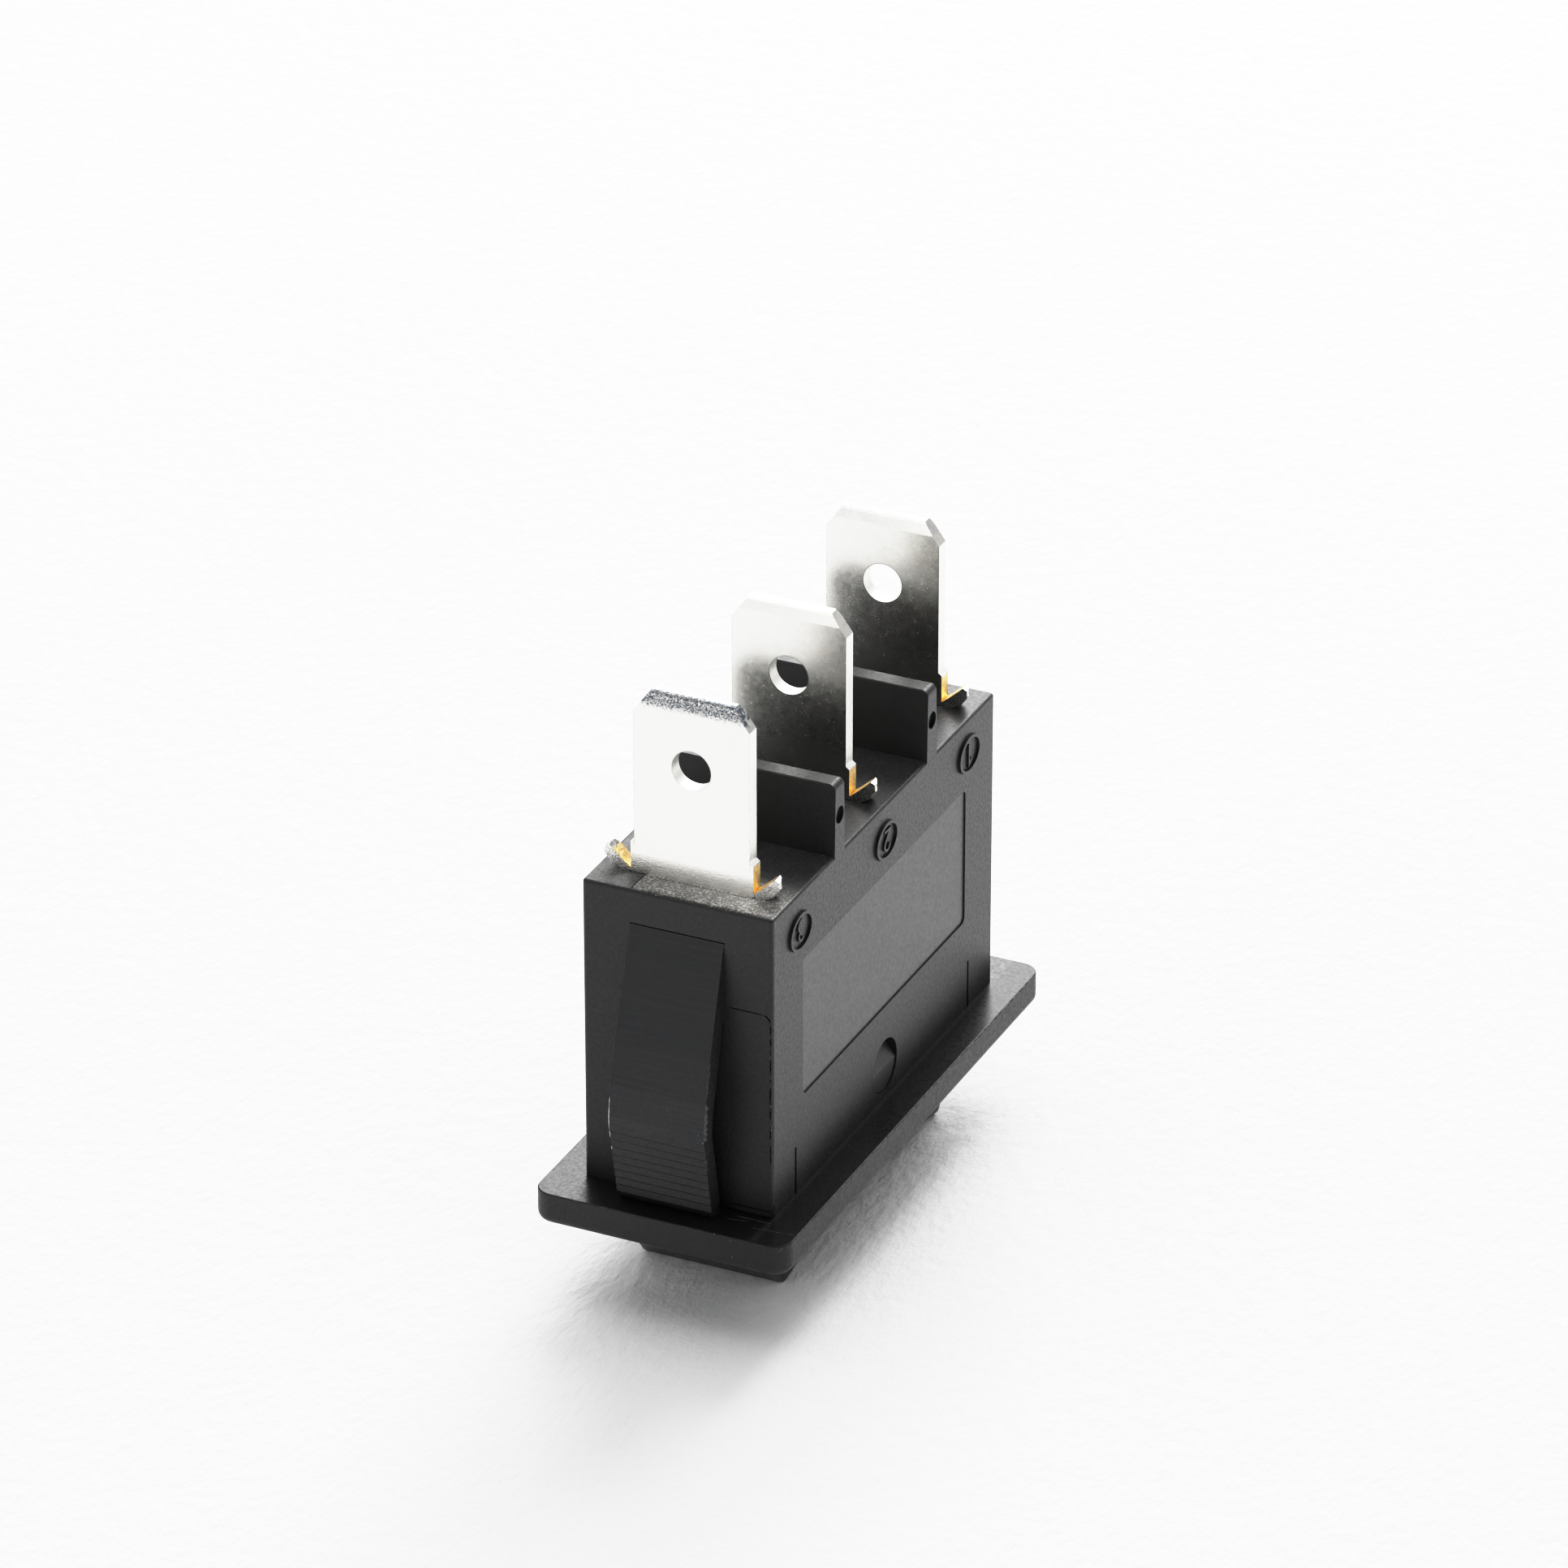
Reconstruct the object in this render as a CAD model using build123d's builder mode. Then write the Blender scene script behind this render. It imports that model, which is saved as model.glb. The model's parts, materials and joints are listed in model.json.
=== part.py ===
from build123d import *
import os
import math

# Narrow three-position rocker switch for a panel cut-out of about 11 x 30 mm,
# with three 6.3 mm quick-connect tabs. The switch stands on the two lobes of
# its rocker, tabs up. Millimetres; origin at the middle of the footprint, on
# the surface it stands on; X is its width, Y its length.

# ---------------------------------------------------------------- dimensions
SEAT = 6.2            # bezel rear face (panel seat) above the standing surface
BEZEL_W = 14.0
BEZEL_L = 32.0
BEZEL_T = 1.8
BEZEL_CORNER = 1.0
BEZEL_SOFT = 0.5      # rounding of the bezel's front rim

BODY_W = 10.4
BODY_L = 27.0
BODY_H = 16.9         # bezel rear face to the terminal face
CAV_W = 8.3
CAV_L = 25.2
CAV_H = 15.3          # bezel rear face to the inside of the terminal wall

PIVOT_Z = 1.85        # rocker axis above the panel seat
PIVOT_HOLE_D = 2.95
PIVOT_STUB_D = 2.85

MARK_H = 0.14         # height of the rings round the numbers
MARK_LINE = 0.14      # the numbers' own strokes
DIGIT_H = 0.11

BARRIER_Y = 5.6
BARRIER_H = 3.95
BARRIER_BASE = 1.2
BARRIER_TOP = 1.0

ARM_W = 5.1           # snap arm on each short end, at its root
ARM_FLARE = 0.13      # extra width of the arm's free end, on its -X edge
ARM_TIP = 15.85       # furthest point of the arm from the middle

PAD_X0 = 2.75         # pad left by a slider of the mould, beside each arm
PAD_X1 = 5.05
PAD_H = 11.5

TAB_Y = 11.35         # pitch of the tabs
TAB_W = 6.3
TAB_T = 0.8
TAB_TOP = 27.1        # above the panel seat
TAB_HOLE_D = 2.13
TAB_HOLE_Z = 23.22
SHANK_W = 6.68        # wider root of the tab, as it passes the wall
SHANK_TOP = 18.6
SLOT_W = 6.8
SLOT_T = 0.9

PLATFORM_Z = 12.6     # underside of the inner platform of the end terminals
CONTACT_Y = 8.4
FIXED_FACE_Z = 12.0   # face of the fixed contacts

SEESAW_Z = 9.7        # axis of the moving contact
SEESAW_T = 0.6
SEESAW_W = 4.0
GROOVE_R = 0.44       # groove of the strip's lugs, over the half-round legs

ROCKER_W = 8.1
ROCKER_R = 12.5       # end faces, arcs about the rocker's axis
LOBE_R = 0.4
VALLEY_Z = -4.37
STUB_OUT = 5.12       # end of the pivot stubs from the middle

BORE_D = 3.0
PLUNGER_D = 2.9
PLUNGER_TIP_Z = 9.33
SPRING_OD = 1.9
SPRING_WIRE = 0.26


def up(z):
    """Height above the standing surface of a height above the panel seat."""
    return SEAT + z


os.makedirs("parts", exist_ok=True)

# ------------------------------------------------------------------- housing
# One moulding: bezel, hollow body, two insulating barriers, two snap arms.
# the outer face of an arm: root at the end face, furthest point, then fine
# steps back in towards the bezel
arm_outer = [(13.3, 15.0), (13.5, 14.95), (14.32, 12.1), (15.16, 9.15),
             (15.66, 7.0), (ARM_TIP, 5.3), (ARM_TIP, 4.75)]
step_top_y, step_top_z = ARM_TIP, 4.75
step_n = 9
step_end_y, step_end_z = 15.0, 0.45
for i in range(step_n):
    t0 = (i + 0.78) / step_n
    t1 = (i + 1.0) / step_n
    ya = step_top_y + (step_end_y - step_top_y) * t0
    za = step_top_z + (step_end_z - step_top_z) * t0
    yb = step_top_y + (step_end_y - step_top_y) * t1
    zb = step_top_z + (step_end_z - step_top_z) * t1
    arm_outer.append((ya + 0.045, za))
    arm_outer.append((yb - 0.02, zb))
arm_outer += [(14.7, 0.06), (14.15, 0.06)]
arm_inner = [(14.12, 1.0), (14.95, 4.9), (14.8, 6.2), (13.95, 9.3),
             (13.62, 10.6), (13.3, 10.9)]

with BuildPart() as housing:
    with BuildSketch(Plane.XY.offset(up(-BEZEL_T))):
        RectangleRounded(BEZEL_W, BEZEL_L, BEZEL_CORNER)
    extrude(amount=BEZEL_T)
    fillet(housing.faces().sort_by(Axis.Z)[0].outer_wire().edges(), BEZEL_SOFT)
    fillet(housing.faces().sort_by(Axis.Z)[-1].outer_wire().edges(), 0.08)
    with BuildSketch(Plane.XY.offset(up(-0.3))):
        RectangleRounded(BODY_W, BODY_L, 0.22)
    extrude(amount=BODY_H + 0.3)
    fillet(housing.faces().sort_by(Axis.Z)[-1].outer_wire().edges(), 0.17)
    # barriers across the terminal face, slightly thinner at the top
    for side in (-1, 1):
        with BuildSketch(Plane.YZ.offset(-BODY_W / 2)):
            with BuildLine():
                c = side * BARRIER_Y
                b = BARRIER_BASE / 2
                t = BARRIER_TOP / 2
                z0 = up(BODY_H - 0.5)
                z1 = up(BODY_H + BARRIER_H)
                Polyline((c - b, z0), (c - b, up(BODY_H)), (c - t, z1),
                         (c + t, z1), (c + b, up(BODY_H)), (c + b, z0),
                         (c - b, z0))
            make_face()
        extrude(amount=BODY_W)
    tops = housing.edges().filter_by(Axis.X).group_by(Axis.Z)[-1]
    fillet(tops, 0.07)
    # the barriers' outer top corners are rounded
    for side in (-1, 1):
        xc = side * (BODY_W / 2 - 0.35)
        zc = up(BODY_H + BARRIER_H - 0.35)
        with BuildSketch(Plane.XZ.offset(-8)):
            with Locations((xc + side * 0.25, zc + 0.25)):
                Rectangle(0.5, 0.5)
            with Locations((xc, zc)):
                Circle(0.35, mode=Mode.SUBTRACT)
        extrude(amount=16, mode=Mode.SUBTRACT)
    # snap arms
    for side in (-1, 1):
        with BuildSketch(Plane.YZ.offset(-ARM_W / 2 - ARM_FLARE)):
            with BuildLine():
                pts = [(side * y, up(z)) for y, z in arm_outer + arm_inner]
                Polyline(*pts, close=True)
            make_face()
        extrude(amount=ARM_W + ARM_FLARE)
        # its -X edge narrows towards the root
        with BuildSketch(Plane.XZ.offset(-16.5 if side > 0 else 13.5)):
            with BuildLine():
                xa = -ARM_W / 2
                Polyline((xa - ARM_FLARE, up(6.5)), (xa, up(15.3)),
                         (xa - 0.5, up(15.3)), (xa - 0.5, up(6.5)),
                         close=True)
            make_face()
        extrude(amount=3.0, mode=Mode.SUBTRACT)
    # cavity, open at the bezel
    with BuildSketch(Plane.XY.offset(up(-BEZEL_T))):
        RectangleRounded(CAV_W, CAV_L, 0.3)
    extrude(amount=BEZEL_T + CAV_H, mode=Mode.SUBTRACT)
    # ribs inside the terminal wall that back the platforms of the end terminals
    for side in (-1, 1):
        with BuildSketch(Plane.XY.offset(up(PLATFORM_Z + TAB_T))):
            with Locations((0, side * 9.95)):
                Rectangle(CAV_W + 0.2, 0.9)
        extrude(amount=CAV_H - PLATFORM_Z - TAB_T + 0.2)
    # slots for the three terminals
    with BuildSketch(Plane.XY.offset(up(CAV_H - 0.4))):
        with Locations((0, -TAB_Y), (0, 0), (0, TAB_Y)):
            Rectangle(SLOT_W, SLOT_T)
    extrude(amount=BODY_H - CAV_H + 0.8, mode=Mode.SUBTRACT)
    # pivot holes through both side walls
    with BuildSketch(Plane.YZ.offset(-BODY_W / 2 - 0.5)):
        with Locations((0, up(PIVOT_Z))):
            Circle(PIVOT_HOLE_D / 2)
    extrude(amount=BODY_W + 1.0, mode=Mode.SUBTRACT)
    # shallow core-pin dimples in both ends of each barrier
    for side in (-1, 1):
        with BuildSketch(Plane.YZ.offset(-BODY_W / 2 - 0.2)):
            with Locations((side * BARRIER_Y, up(BODY_H + 2.1))):
                Circle(0.46)
        extrude(amount=0.42, mode=Mode.SUBTRACT)
        with BuildSketch(Plane.YZ.offset(BODY_W / 2 - 0.22)):
            with Locations((side * BARRIER_Y, up(BODY_H + 2.1))):
                Circle(0.46)
        extrude(amount=0.42, mode=Mode.SUBTRACT)
    # shallow panel sunk in the +X side
    with BuildSketch(Plane.YZ.offset(BODY_W / 2 - 0.08)):
        with Locations((-0.02, up(9.12))):
            RectangleRounded(19.85, 7.72, 0.35)
    extrude(amount=0.4, mode=Mode.SUBTRACT)
    # two thin slits beside the bezel, one towards each end of the +X side
    for y0 in (-10.8, 10.4):
        with BuildSketch(Plane.YZ.offset(BODY_W / 2 - 0.5)):
            with Locations((y0, up(1.36))):
                Rectangle(0.19, 2.72)
        extrude(amount=0.75, mode=Mode.SUBTRACT)
    # slider pad on each end face beside the arm, a hair below the face, with
    # a low ledge at its foot
    for side in (-1, 1):
        with BuildSketch(Plane.XZ.offset(-side * BODY_L / 2)):
            with BuildLine():
                ra = 0.38
                rb = ra * (1 - math.cos(math.pi / 4))
                Polyline((PAD_X1 - ra, up(PAD_H)), (PAD_X0, up(PAD_H)),
                         (PAD_X0, up(0)), (PAD_X1, up(0)),
                         (PAD_X1, up(PAD_H - ra)))
                ThreePointArc((PAD_X1, up(PAD_H - ra)),
                              (PAD_X1 - rb, up(PAD_H - rb)),
                              (PAD_X1 - ra, up(PAD_H)))
            make_face()
        extrude(amount=side * 0.06, mode=Mode.SUBTRACT)
        with BuildSketch(Plane.XY.offset(up(0.16))):
            with Locations(((PAD_X0 + PAD_X1) / 2, side * BODY_L / 2)):
                Rectangle(PAD_X1 - PAD_X0, 0.16)
        extrude(amount=0.2)
    # hair groove along the root of each arm
    for side in (-1, 1):
        with BuildSketch(Plane.XY.offset(up(15.0))):
            with Locations((0.02, side * BODY_L / 2)):
                Rectangle(ARM_W + 0.1, 0.2)
        extrude(amount=0.07, mode=Mode.SUBTRACT)
    # raised circled numbers on the +X side, upright when the tabs point down
    mark = Plane(origin=(BODY_W / 2 - 0.03, 0, 0), x_dir=(0, -1, 0),
                 z_dir=(1, 0, 0))
    for c1, z0 in ((10.33, 14.78), (0.07, 14.89), (-10.19, 14.92)):
        with BuildSketch(mark):
            with Locations((c1, -up(z0))):
                Ellipse(1.29, 1.02)
                Ellipse(1.12, 0.85, mode=Mode.SUBTRACT)
        extrude(amount=MARK_H + 0.03)
    c1, cz = -10.19, -up(14.92)
    with BuildSketch(mark):
        with BuildLine():
            Polyline((c1 - 0.26, cz + 0.32), (c1 + 0.1, cz + 0.58),
                     (c1 + 0.1, cz - 0.58))
        trace(line_width=MARK_LINE)
    extrude(amount=DIGIT_H + 0.03)
    c1, cz = 0.07, -up(14.89)
    with BuildSketch(mark):
        with BuildLine():
            a2 = CenterArc((c1, cz + 0.26), 0.3, 180, -215)
            Line(a2 @ 1, (c1 - 0.3, cz - 0.55))
            Line((c1 - 0.3, cz - 0.55), (c1 + 0.34, cz - 0.55))
        trace(line_width=MARK_LINE)
    extrude(amount=DIGIT_H + 0.03)
    c1, cz = 10.35, -up(14.84)
    with BuildSketch(mark):
        with BuildLine():
            CenterArc((c1, cz + 0.28), 0.26, 150, -240)
        trace(line_width=MARK_LINE)
        with BuildLine():
            CenterArc((c1, cz - 0.28), 0.3, 90, -240)
        trace(line_width=MARK_LINE)
    extrude(amount=DIGIT_H + 0.03)
housing.part.label = "housing"
export_step(housing.part, "parts/housing.step")
print("housing", housing.part.volume, len(housing.part.solids()))

# ----------------------------------------------------------------- terminals
def outline_points(foot):
    """Right half of a tab's outline from its foot up, (x, height above seat)."""
    top = [(SHANK_W / 2, CAV_H), (SHANK_W / 2, SHANK_TOP),
           (TAB_W / 2, SHANK_TOP + 0.14), (TAB_W / 2, 25.92),
           (2.28, TAB_TOP)]
    return foot + top


def mirrored(points):
    left = [(-x, z) for x, z in reversed(points)]
    return [(x, up(z)) for x, z in points + left]


# profiles of the coined lead-in: depth from the blade's face, height
coin_deep = [(-0.2, 26.3), (0.0, 26.5), (0.03, 26.68), (0.09, 26.84),
             (0.18, 26.97), (0.28, 27.06), (0.38, TAB_TOP)]
coin_slight = [(-0.2, 26.3), (0.0, 26.42), (0.1, 26.98), (0.17, TAB_TOP)]
coin_back = [(-0.2, 26.6), (0.0, 26.72), (0.06, 26.98), (0.14, TAB_TOP)]


def coin_cut(profile, face, sign):
    """The wedge that a lead-in takes off one face, as (y, height) points."""
    pts = profile + [(profile[-1][0], TAB_TOP + 0.3), (-0.2, TAB_TOP + 0.3)]
    return [(face - sign * a, up(b)) for a, b in pts]


# an ear: sheared from the blade's edge at the foot and turned outward
ear = [(SHANK_W / 2 - 0.1, BODY_H), (3.92, BODY_H), (4.42, 17.16),
       (4.78, 17.68), (4.74, 18.05), (4.52, 18.15), (3.72, 17.42),
       (SHANK_W / 2, 17.12), (SHANK_W / 2 - 0.1, 17.12)]

ear_back = [(4.1, 0.45), (4.42, 0.33), (4.62, 0.12), (4.74, -0.16),
            (4.9, -0.2), (4.9, 0.45)]

end_foot = [(2.5, PLATFORM_Z), (2.5, 13.7), (3.75, 14.0), (3.75, CAV_H)]
mid_foot = [(2.3, 9.3), (3.1, 9.3), (3.1, 11.6), (3.75, 12.0),
            (3.75, CAV_H)]

for name, y0, foot in (("terminal_1", TAB_Y, end_foot),
                       ("terminal_3", -TAB_Y, end_foot)):
    side = 1 if y0 > 0 else -1
    with BuildPart() as blade:
        with BuildSketch(Plane.XZ.offset(-y0 - TAB_T / 2)):
            with BuildLine():
                Polyline(*mirrored(outline_points(foot)), close=True)
            make_face()
            for k in (-1, 1):
                with BuildLine():
                    Polyline(*[(k * x, up(z)) for x, z in ear], close=True)
                make_face()
            with Locations((0, up(TAB_HOLE_Z))):
                Circle(TAB_HOLE_D / 2, mode=Mode.SUBTRACT)
        extrude(amount=TAB_T)
        # the tips of the ears are thinner, rounded off from behind
        for k in (-1, 1):
            with BuildSketch(Plane.XY.offset(up(BODY_H + 0.2))):
                with BuildLine():
                    Polyline(*[(k * x, y0 + y) for x, y in ear_back],
                             close=True)
                make_face()
            extrude(amount=1.5, mode=Mode.SUBTRACT)
        # platform towards the middle of the switch
        with BuildSketch(Plane.XY.offset(up(PLATFORM_Z))):
            with Locations((0, side * (6.7 + TAB_Y + TAB_T / 2) / 2)):
                Rectangle(5.0, TAB_Y + TAB_T / 2 - 6.7)
        extrude(amount=TAB_T)
        heel = blade.edges().filter_by(Axis.X).filter_by(
            lambda e: abs(e.center().Z - up(PLATFORM_Z)) < 0.01
            and abs(abs(e.center().Y) - TAB_Y - TAB_T / 2) < 0.01)
        fillet(heel, 0.9)
        # hole for the rivet's shank
        with BuildSketch(Plane.XY.offset(up(PLATFORM_Z))):
            with Locations((0, side * CONTACT_Y)):
                Circle(0.8)
        extrude(amount=TAB_T, mode=Mode.SUBTRACT)
        # coined lead-in at the top edge, on both faces
        for f in (-1, 1):
            with BuildSketch(Plane.YZ.offset(-TAB_W)):
                with BuildLine():
                    lead = coin_slight if y0 > 0 else coin_deep
                    Polyline(*coin_cut(lead if f < 0 else coin_back,
                                       y0 + f * TAB_T / 2, f), close=True)
                make_face()
            extrude(amount=2 * TAB_W, mode=Mode.SUBTRACT)
    blade.part.label = name
    export_step(blade.part, "parts/" + name + ".step")
    print(name, blade.part.volume, len(blade.part.solids()))

with BuildPart() as terminal_2:
    with BuildSketch(Plane.XZ.offset(-TAB_T / 2)):
        with BuildLine():
            fork = mirrored(outline_points(mid_foot))
            Polyline(*fork, close=True)
        make_face()
        # the gap between the two legs, where the strip rocks
        with Locations((0, up(10.3))):
            Rectangle(4.6, 2.4, mode=Mode.SUBTRACT)
        for k in (-1, 1):
            with BuildLine():
                Polyline(*[(k * x, up(z)) for x, z in ear], close=True)
            make_face()
        with Locations((0, up(TAB_HOLE_Z))):
            Circle(TAB_HOLE_D / 2, mode=Mode.SUBTRACT)
    extrude(amount=TAB_T)
    for k in (-1, 1):
        with BuildSketch(Plane.XY.offset(up(BODY_H + 0.2))):
            with BuildLine():
                Polyline(*[(k * x, y) for x, y in ear_back], close=True)
            make_face()
        extrude(amount=1.5, mode=Mode.SUBTRACT)
    # the end of each leg is half round: the strip rocks on it
    toes = terminal_2.edges().filter_by(Axis.X).group_by(Axis.Z)[0]
    fillet(toes, TAB_T / 2 - 0.004)
    for f in (-1, 1):
        with BuildSketch(Plane.YZ.offset(-TAB_W)):
            with BuildLine():
                Polyline(*coin_cut(coin_slight if f < 0 else coin_back,
                                   f * TAB_T / 2, f), close=True)
            make_face()
        extrude(amount=2 * TAB_W, mode=Mode.SUBTRACT)
terminal_2.part.label = "terminal_2"
export_step(terminal_2.part, "parts/terminal_2.step")
print("terminal_2", terminal_2.part.volume, len(terminal_2.part.solids()))

# ------------------------------------------------------------ contact rivets
for name, side in (("fixed_contact_1", 1), ("fixed_contact_3", -1)):
    with BuildPart() as rivet:
        with BuildSketch(Plane.XY.offset(up(FIXED_FACE_Z))):
            with Locations((0, side * CONTACT_Y)):
                Circle(1.5)
        extrude(amount=PLATFORM_Z - FIXED_FACE_Z)
        fillet(rivet.edges().group_by(Axis.Z)[0], 0.12)
        with BuildSketch(Plane.XY.offset(up(PLATFORM_Z))):
            with Locations((0, side * CONTACT_Y)):
                Circle(0.8)
        extrude(amount=TAB_T)
        with BuildSketch(Plane.XY.offset(up(PLATFORM_Z + TAB_T))):
            with Locations((0, side * CONTACT_Y)):
                Circle(1.0)
        extrude(amount=0.2)
        fillet(rivet.edges().group_by(Axis.Z)[-1], 0.08)
    rivet.part.label = name
    export_step(rivet.part, "parts/" + name + ".step")
    print(name, rivet.part.volume, len(rivet.part.solids()))

# ------------------------------------------------------------ moving contact
# A seesaw strip with a shallow inverted V in its middle for the plunger, and
# a grooved lug on each side that hooks under the legs of the middle terminal.
half = SEESAW_T / 2
line = [(0.0, 0.0), (2.2, -0.39), (4.6, 0.0), (9.7, 0.0)]
with BuildPart() as moving_contact:
    with BuildSketch(Plane.YZ.offset(-SEESAW_W / 2)):
        with BuildLine():
            upper = [(y, up(SEESAW_Z + z + half)) for y, z in line]
            lower = [(y, up(SEESAW_Z + z - half)) for y, z in line]
            ring = (upper + lower[::-1]
                    + [(-y, z) for y, z in lower[1:]]
                    + [(-y, z) for y, z in upper[:0:-1]])
            Polyline(*ring, close=True)
        make_face()
    extrude(amount=SEESAW_W)
    ends = moving_contact.edges().filter_by(Axis.Z).filter_by(
        lambda e: abs(e.center().Y) > 9.0)
    fillet(ends, 1.4)
    bends = moving_contact.edges().filter_by(Axis.X).filter_by(
        lambda e: abs(e.center().Y) < 5.0)
    fillet(bends, 0.35)
    for side in (-1, 1):
        x0 = SEESAW_W / 2 - 0.3 if side > 0 else -3.15
        with BuildSketch(Plane.YZ.offset(x0)):
            with Locations((0, up(SEESAW_Z))):
                Circle(GROOVE_R + 0.5)
            with Locations((0, up(SEESAW_Z + 0.06 + 1))):
                Rectangle(4, 2, mode=Mode.SUBTRACT)
        extrude(amount=3.15 - SEESAW_W / 2 + 0.3)
    for side in (-1, 1):
        x0 = SEESAW_W / 2 if side > 0 else -3.5
        with BuildSketch(Plane.YZ.offset(x0)):
            with Locations((0, up(SEESAW_Z))):
                Circle(GROOVE_R)
            with Locations((0, up(SEESAW_Z + 0.5))):
                Rectangle(2 * GROOVE_R, 1.0)
        extrude(amount=3.5 - SEESAW_W / 2, mode=Mode.SUBTRACT)
    # holes for the rivets
    with BuildSketch(Plane.XY.offset(up(SEESAW_Z - 1))):
        with Locations((0, -CONTACT_Y), (0, CONTACT_Y)):
            Circle(0.7)
    extrude(amount=2, mode=Mode.SUBTRACT)
moving_contact.part.label = "moving_contact"
export_step(moving_contact.part, "parts/moving_contact.step")
print("moving_contact", moving_contact.part.volume,
      len(moving_contact.part.solids()))

DOME_R = 2.0
RIVET_R = 1.35
sag = DOME_R - math.sqrt(DOME_R ** 2 - RIVET_R ** 2)
face = SEESAW_Z + half
for name, side in (("moving_rivet_1", 1), ("moving_rivet_3", -1)):
    yc = side * CONTACT_Y
    with BuildPart() as rivet:
        with BuildSketch(Plane(origin=(0, yc, 0), x_dir=(1, 0, 0),
                               z_dir=(0, -1, 0))):
            with BuildLine():
                Polyline((0, up(face + 0.6)), (0, up(face - SEESAW_T - 0.2)),
                         (0.95, up(face - SEESAW_T - 0.2)),
                         (0.95, up(face - SEESAW_T)),
                         (0.7, up(face - SEESAW_T)), (0.7, up(face)),
                         (RIVET_R, up(face)), (RIVET_R, up(face + 0.6 - sag)))
                mid = math.asin(RIVET_R / DOME_R) / 2
                ThreePointArc((RIVET_R, up(face + 0.6 - sag)),
                              (DOME_R * math.sin(mid),
                               up(face + 0.6 - DOME_R
                                  + DOME_R * math.cos(mid))),
                              (0, up(face + 0.6)))
            make_face()
        revolve(axis=Axis((0, yc, 0), (0, 0, 1)))
    rivet.part.label = name
    export_step(rivet.part, "parts/" + name + ".step")
    print(name, rivet.part.volume, len(rivet.part.solids()))

# -------------------------------------------------------------------- rocker
tip_z = -(SEAT + 0.093 * LOBE_R)
tip_y = math.sqrt(ROCKER_R ** 2 - (tip_z - PIVOT_Z) ** 2)
END_Z = 1.2           # rim of the end faces, inside the housing
end_y = math.sqrt(ROCKER_R ** 2 - (END_Z - PIVOT_Z) ** 2)
a_tip = math.atan2(tip_z - PIVOT_Z, tip_y)
a_end = math.atan2(END_Z - PIVOT_Z, end_y)
a_mid = (a_tip + a_end) / 2
mid_y = ROCKER_R * math.cos(a_mid)
mid_z = PIVOT_Z + ROCKER_R * math.sin(a_mid)
with BuildPart() as rocker:
    with BuildSketch(Plane.YZ.offset(-ROCKER_W / 2)):
        with BuildLine():
            Polyline((-tip_y, up(tip_z)), (0, up(VALLEY_Z)),
                     (tip_y, up(tip_z)))
            ThreePointArc((tip_y, up(tip_z)), (mid_y, up(mid_z)),
                          (end_y, up(END_Z)))
            Polyline((end_y, up(END_Z)), (3.3, up(END_Z)), (2.4, up(3.9)),
                     (-2.4, up(3.9)), (-3.3, up(END_Z)),
                     (-end_y, up(END_Z)))
            ThreePointArc((-end_y, up(END_Z)), (-mid_y, up(mid_z)),
                          (-tip_y, up(tip_z)))
        make_face()
    extrude(amount=ROCKER_W)
    ridges = rocker.edges().filter_by(Axis.X).filter_by(
        lambda e: abs(e.center().Z - up(tip_z)) < 0.01)
    fillet(ridges, LOBE_R)
    valley = rocker.edges().filter_by(Axis.X).filter_by(
        lambda e: abs(e.center().Y) < 0.01
        and abs(e.center().Z - up(VALLEY_Z)) < 0.01)
    fillet(valley, 9.0)
    rims = rocker.edges().filter_by(
        lambda e: abs(abs(e.center().X) - ROCKER_W / 2) < 0.01
        and e.center().Z < up(-1.2))
    fillet(rims, 0.35)
    # hollow back
    with BuildSketch(Plane.YZ.offset(-2.95)):
        with BuildLine():
            Polyline((0, up(-2.97)), (8.9, up(-4.65)), (10.85, up(-1.0)),
                     (11.3, up(5.0)), (-11.3, up(5.0)), (-10.85, up(-1.0)),
                     (-8.9, up(-4.65)), (0, up(-2.97)))
        make_face()
    extrude(amount=5.9, mode=Mode.SUBTRACT)
    # boss for the plunger, tied to both side walls by a web
    with BuildSketch(Plane.XY.offset(up(-3.4))):
        Circle(2.3)
    extrude(amount=6.0 + 3.4)
    with BuildSketch(Plane.XY.offset(up(-3.4))):
        Rectangle(6.6, 0.8)
    extrude(amount=3.4 + 3.4)
    with BuildSketch(Plane.XY.offset(up(-2.6))):
        Circle(BORE_D / 2)
    extrude(amount=10, mode=Mode.SUBTRACT)
    # pivot stubs
    for side in (-1, 1):
        x0 = ROCKER_W / 2 - 0.6 if side > 0 else -STUB_OUT
        with BuildSketch(Plane.YZ.offset(x0)):
            with Locations((0, up(PIVOT_Z))):
                Circle(PIVOT_STUB_D / 2)
        extrude(amount=STUB_OUT - ROCKER_W / 2 + 0.6)
    # each stub's inner half is a ramp that spreads the walls on assembly
    for side in (-1, 1):
        with BuildSketch(Plane.XZ.offset(-2)):
            with BuildLine():
                Polyline((side * STUB_OUT, up(1.7)), (side * 5.4, up(1.7)),
                         (side * 5.4, up(3.6)), (side * 4.3, up(3.6)),
                         (side * 4.3, up(3.28)), (side * STUB_OUT, up(1.7)))
            make_face()
        extrude(amount=4, mode=Mode.SUBTRACT)
rocker.part.label = "rocker"
export_step(rocker.part, "parts/rocker.step")
print("rocker", rocker.part.volume, len(rocker.part.solids()),
      rocker.part.bounding_box())

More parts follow.
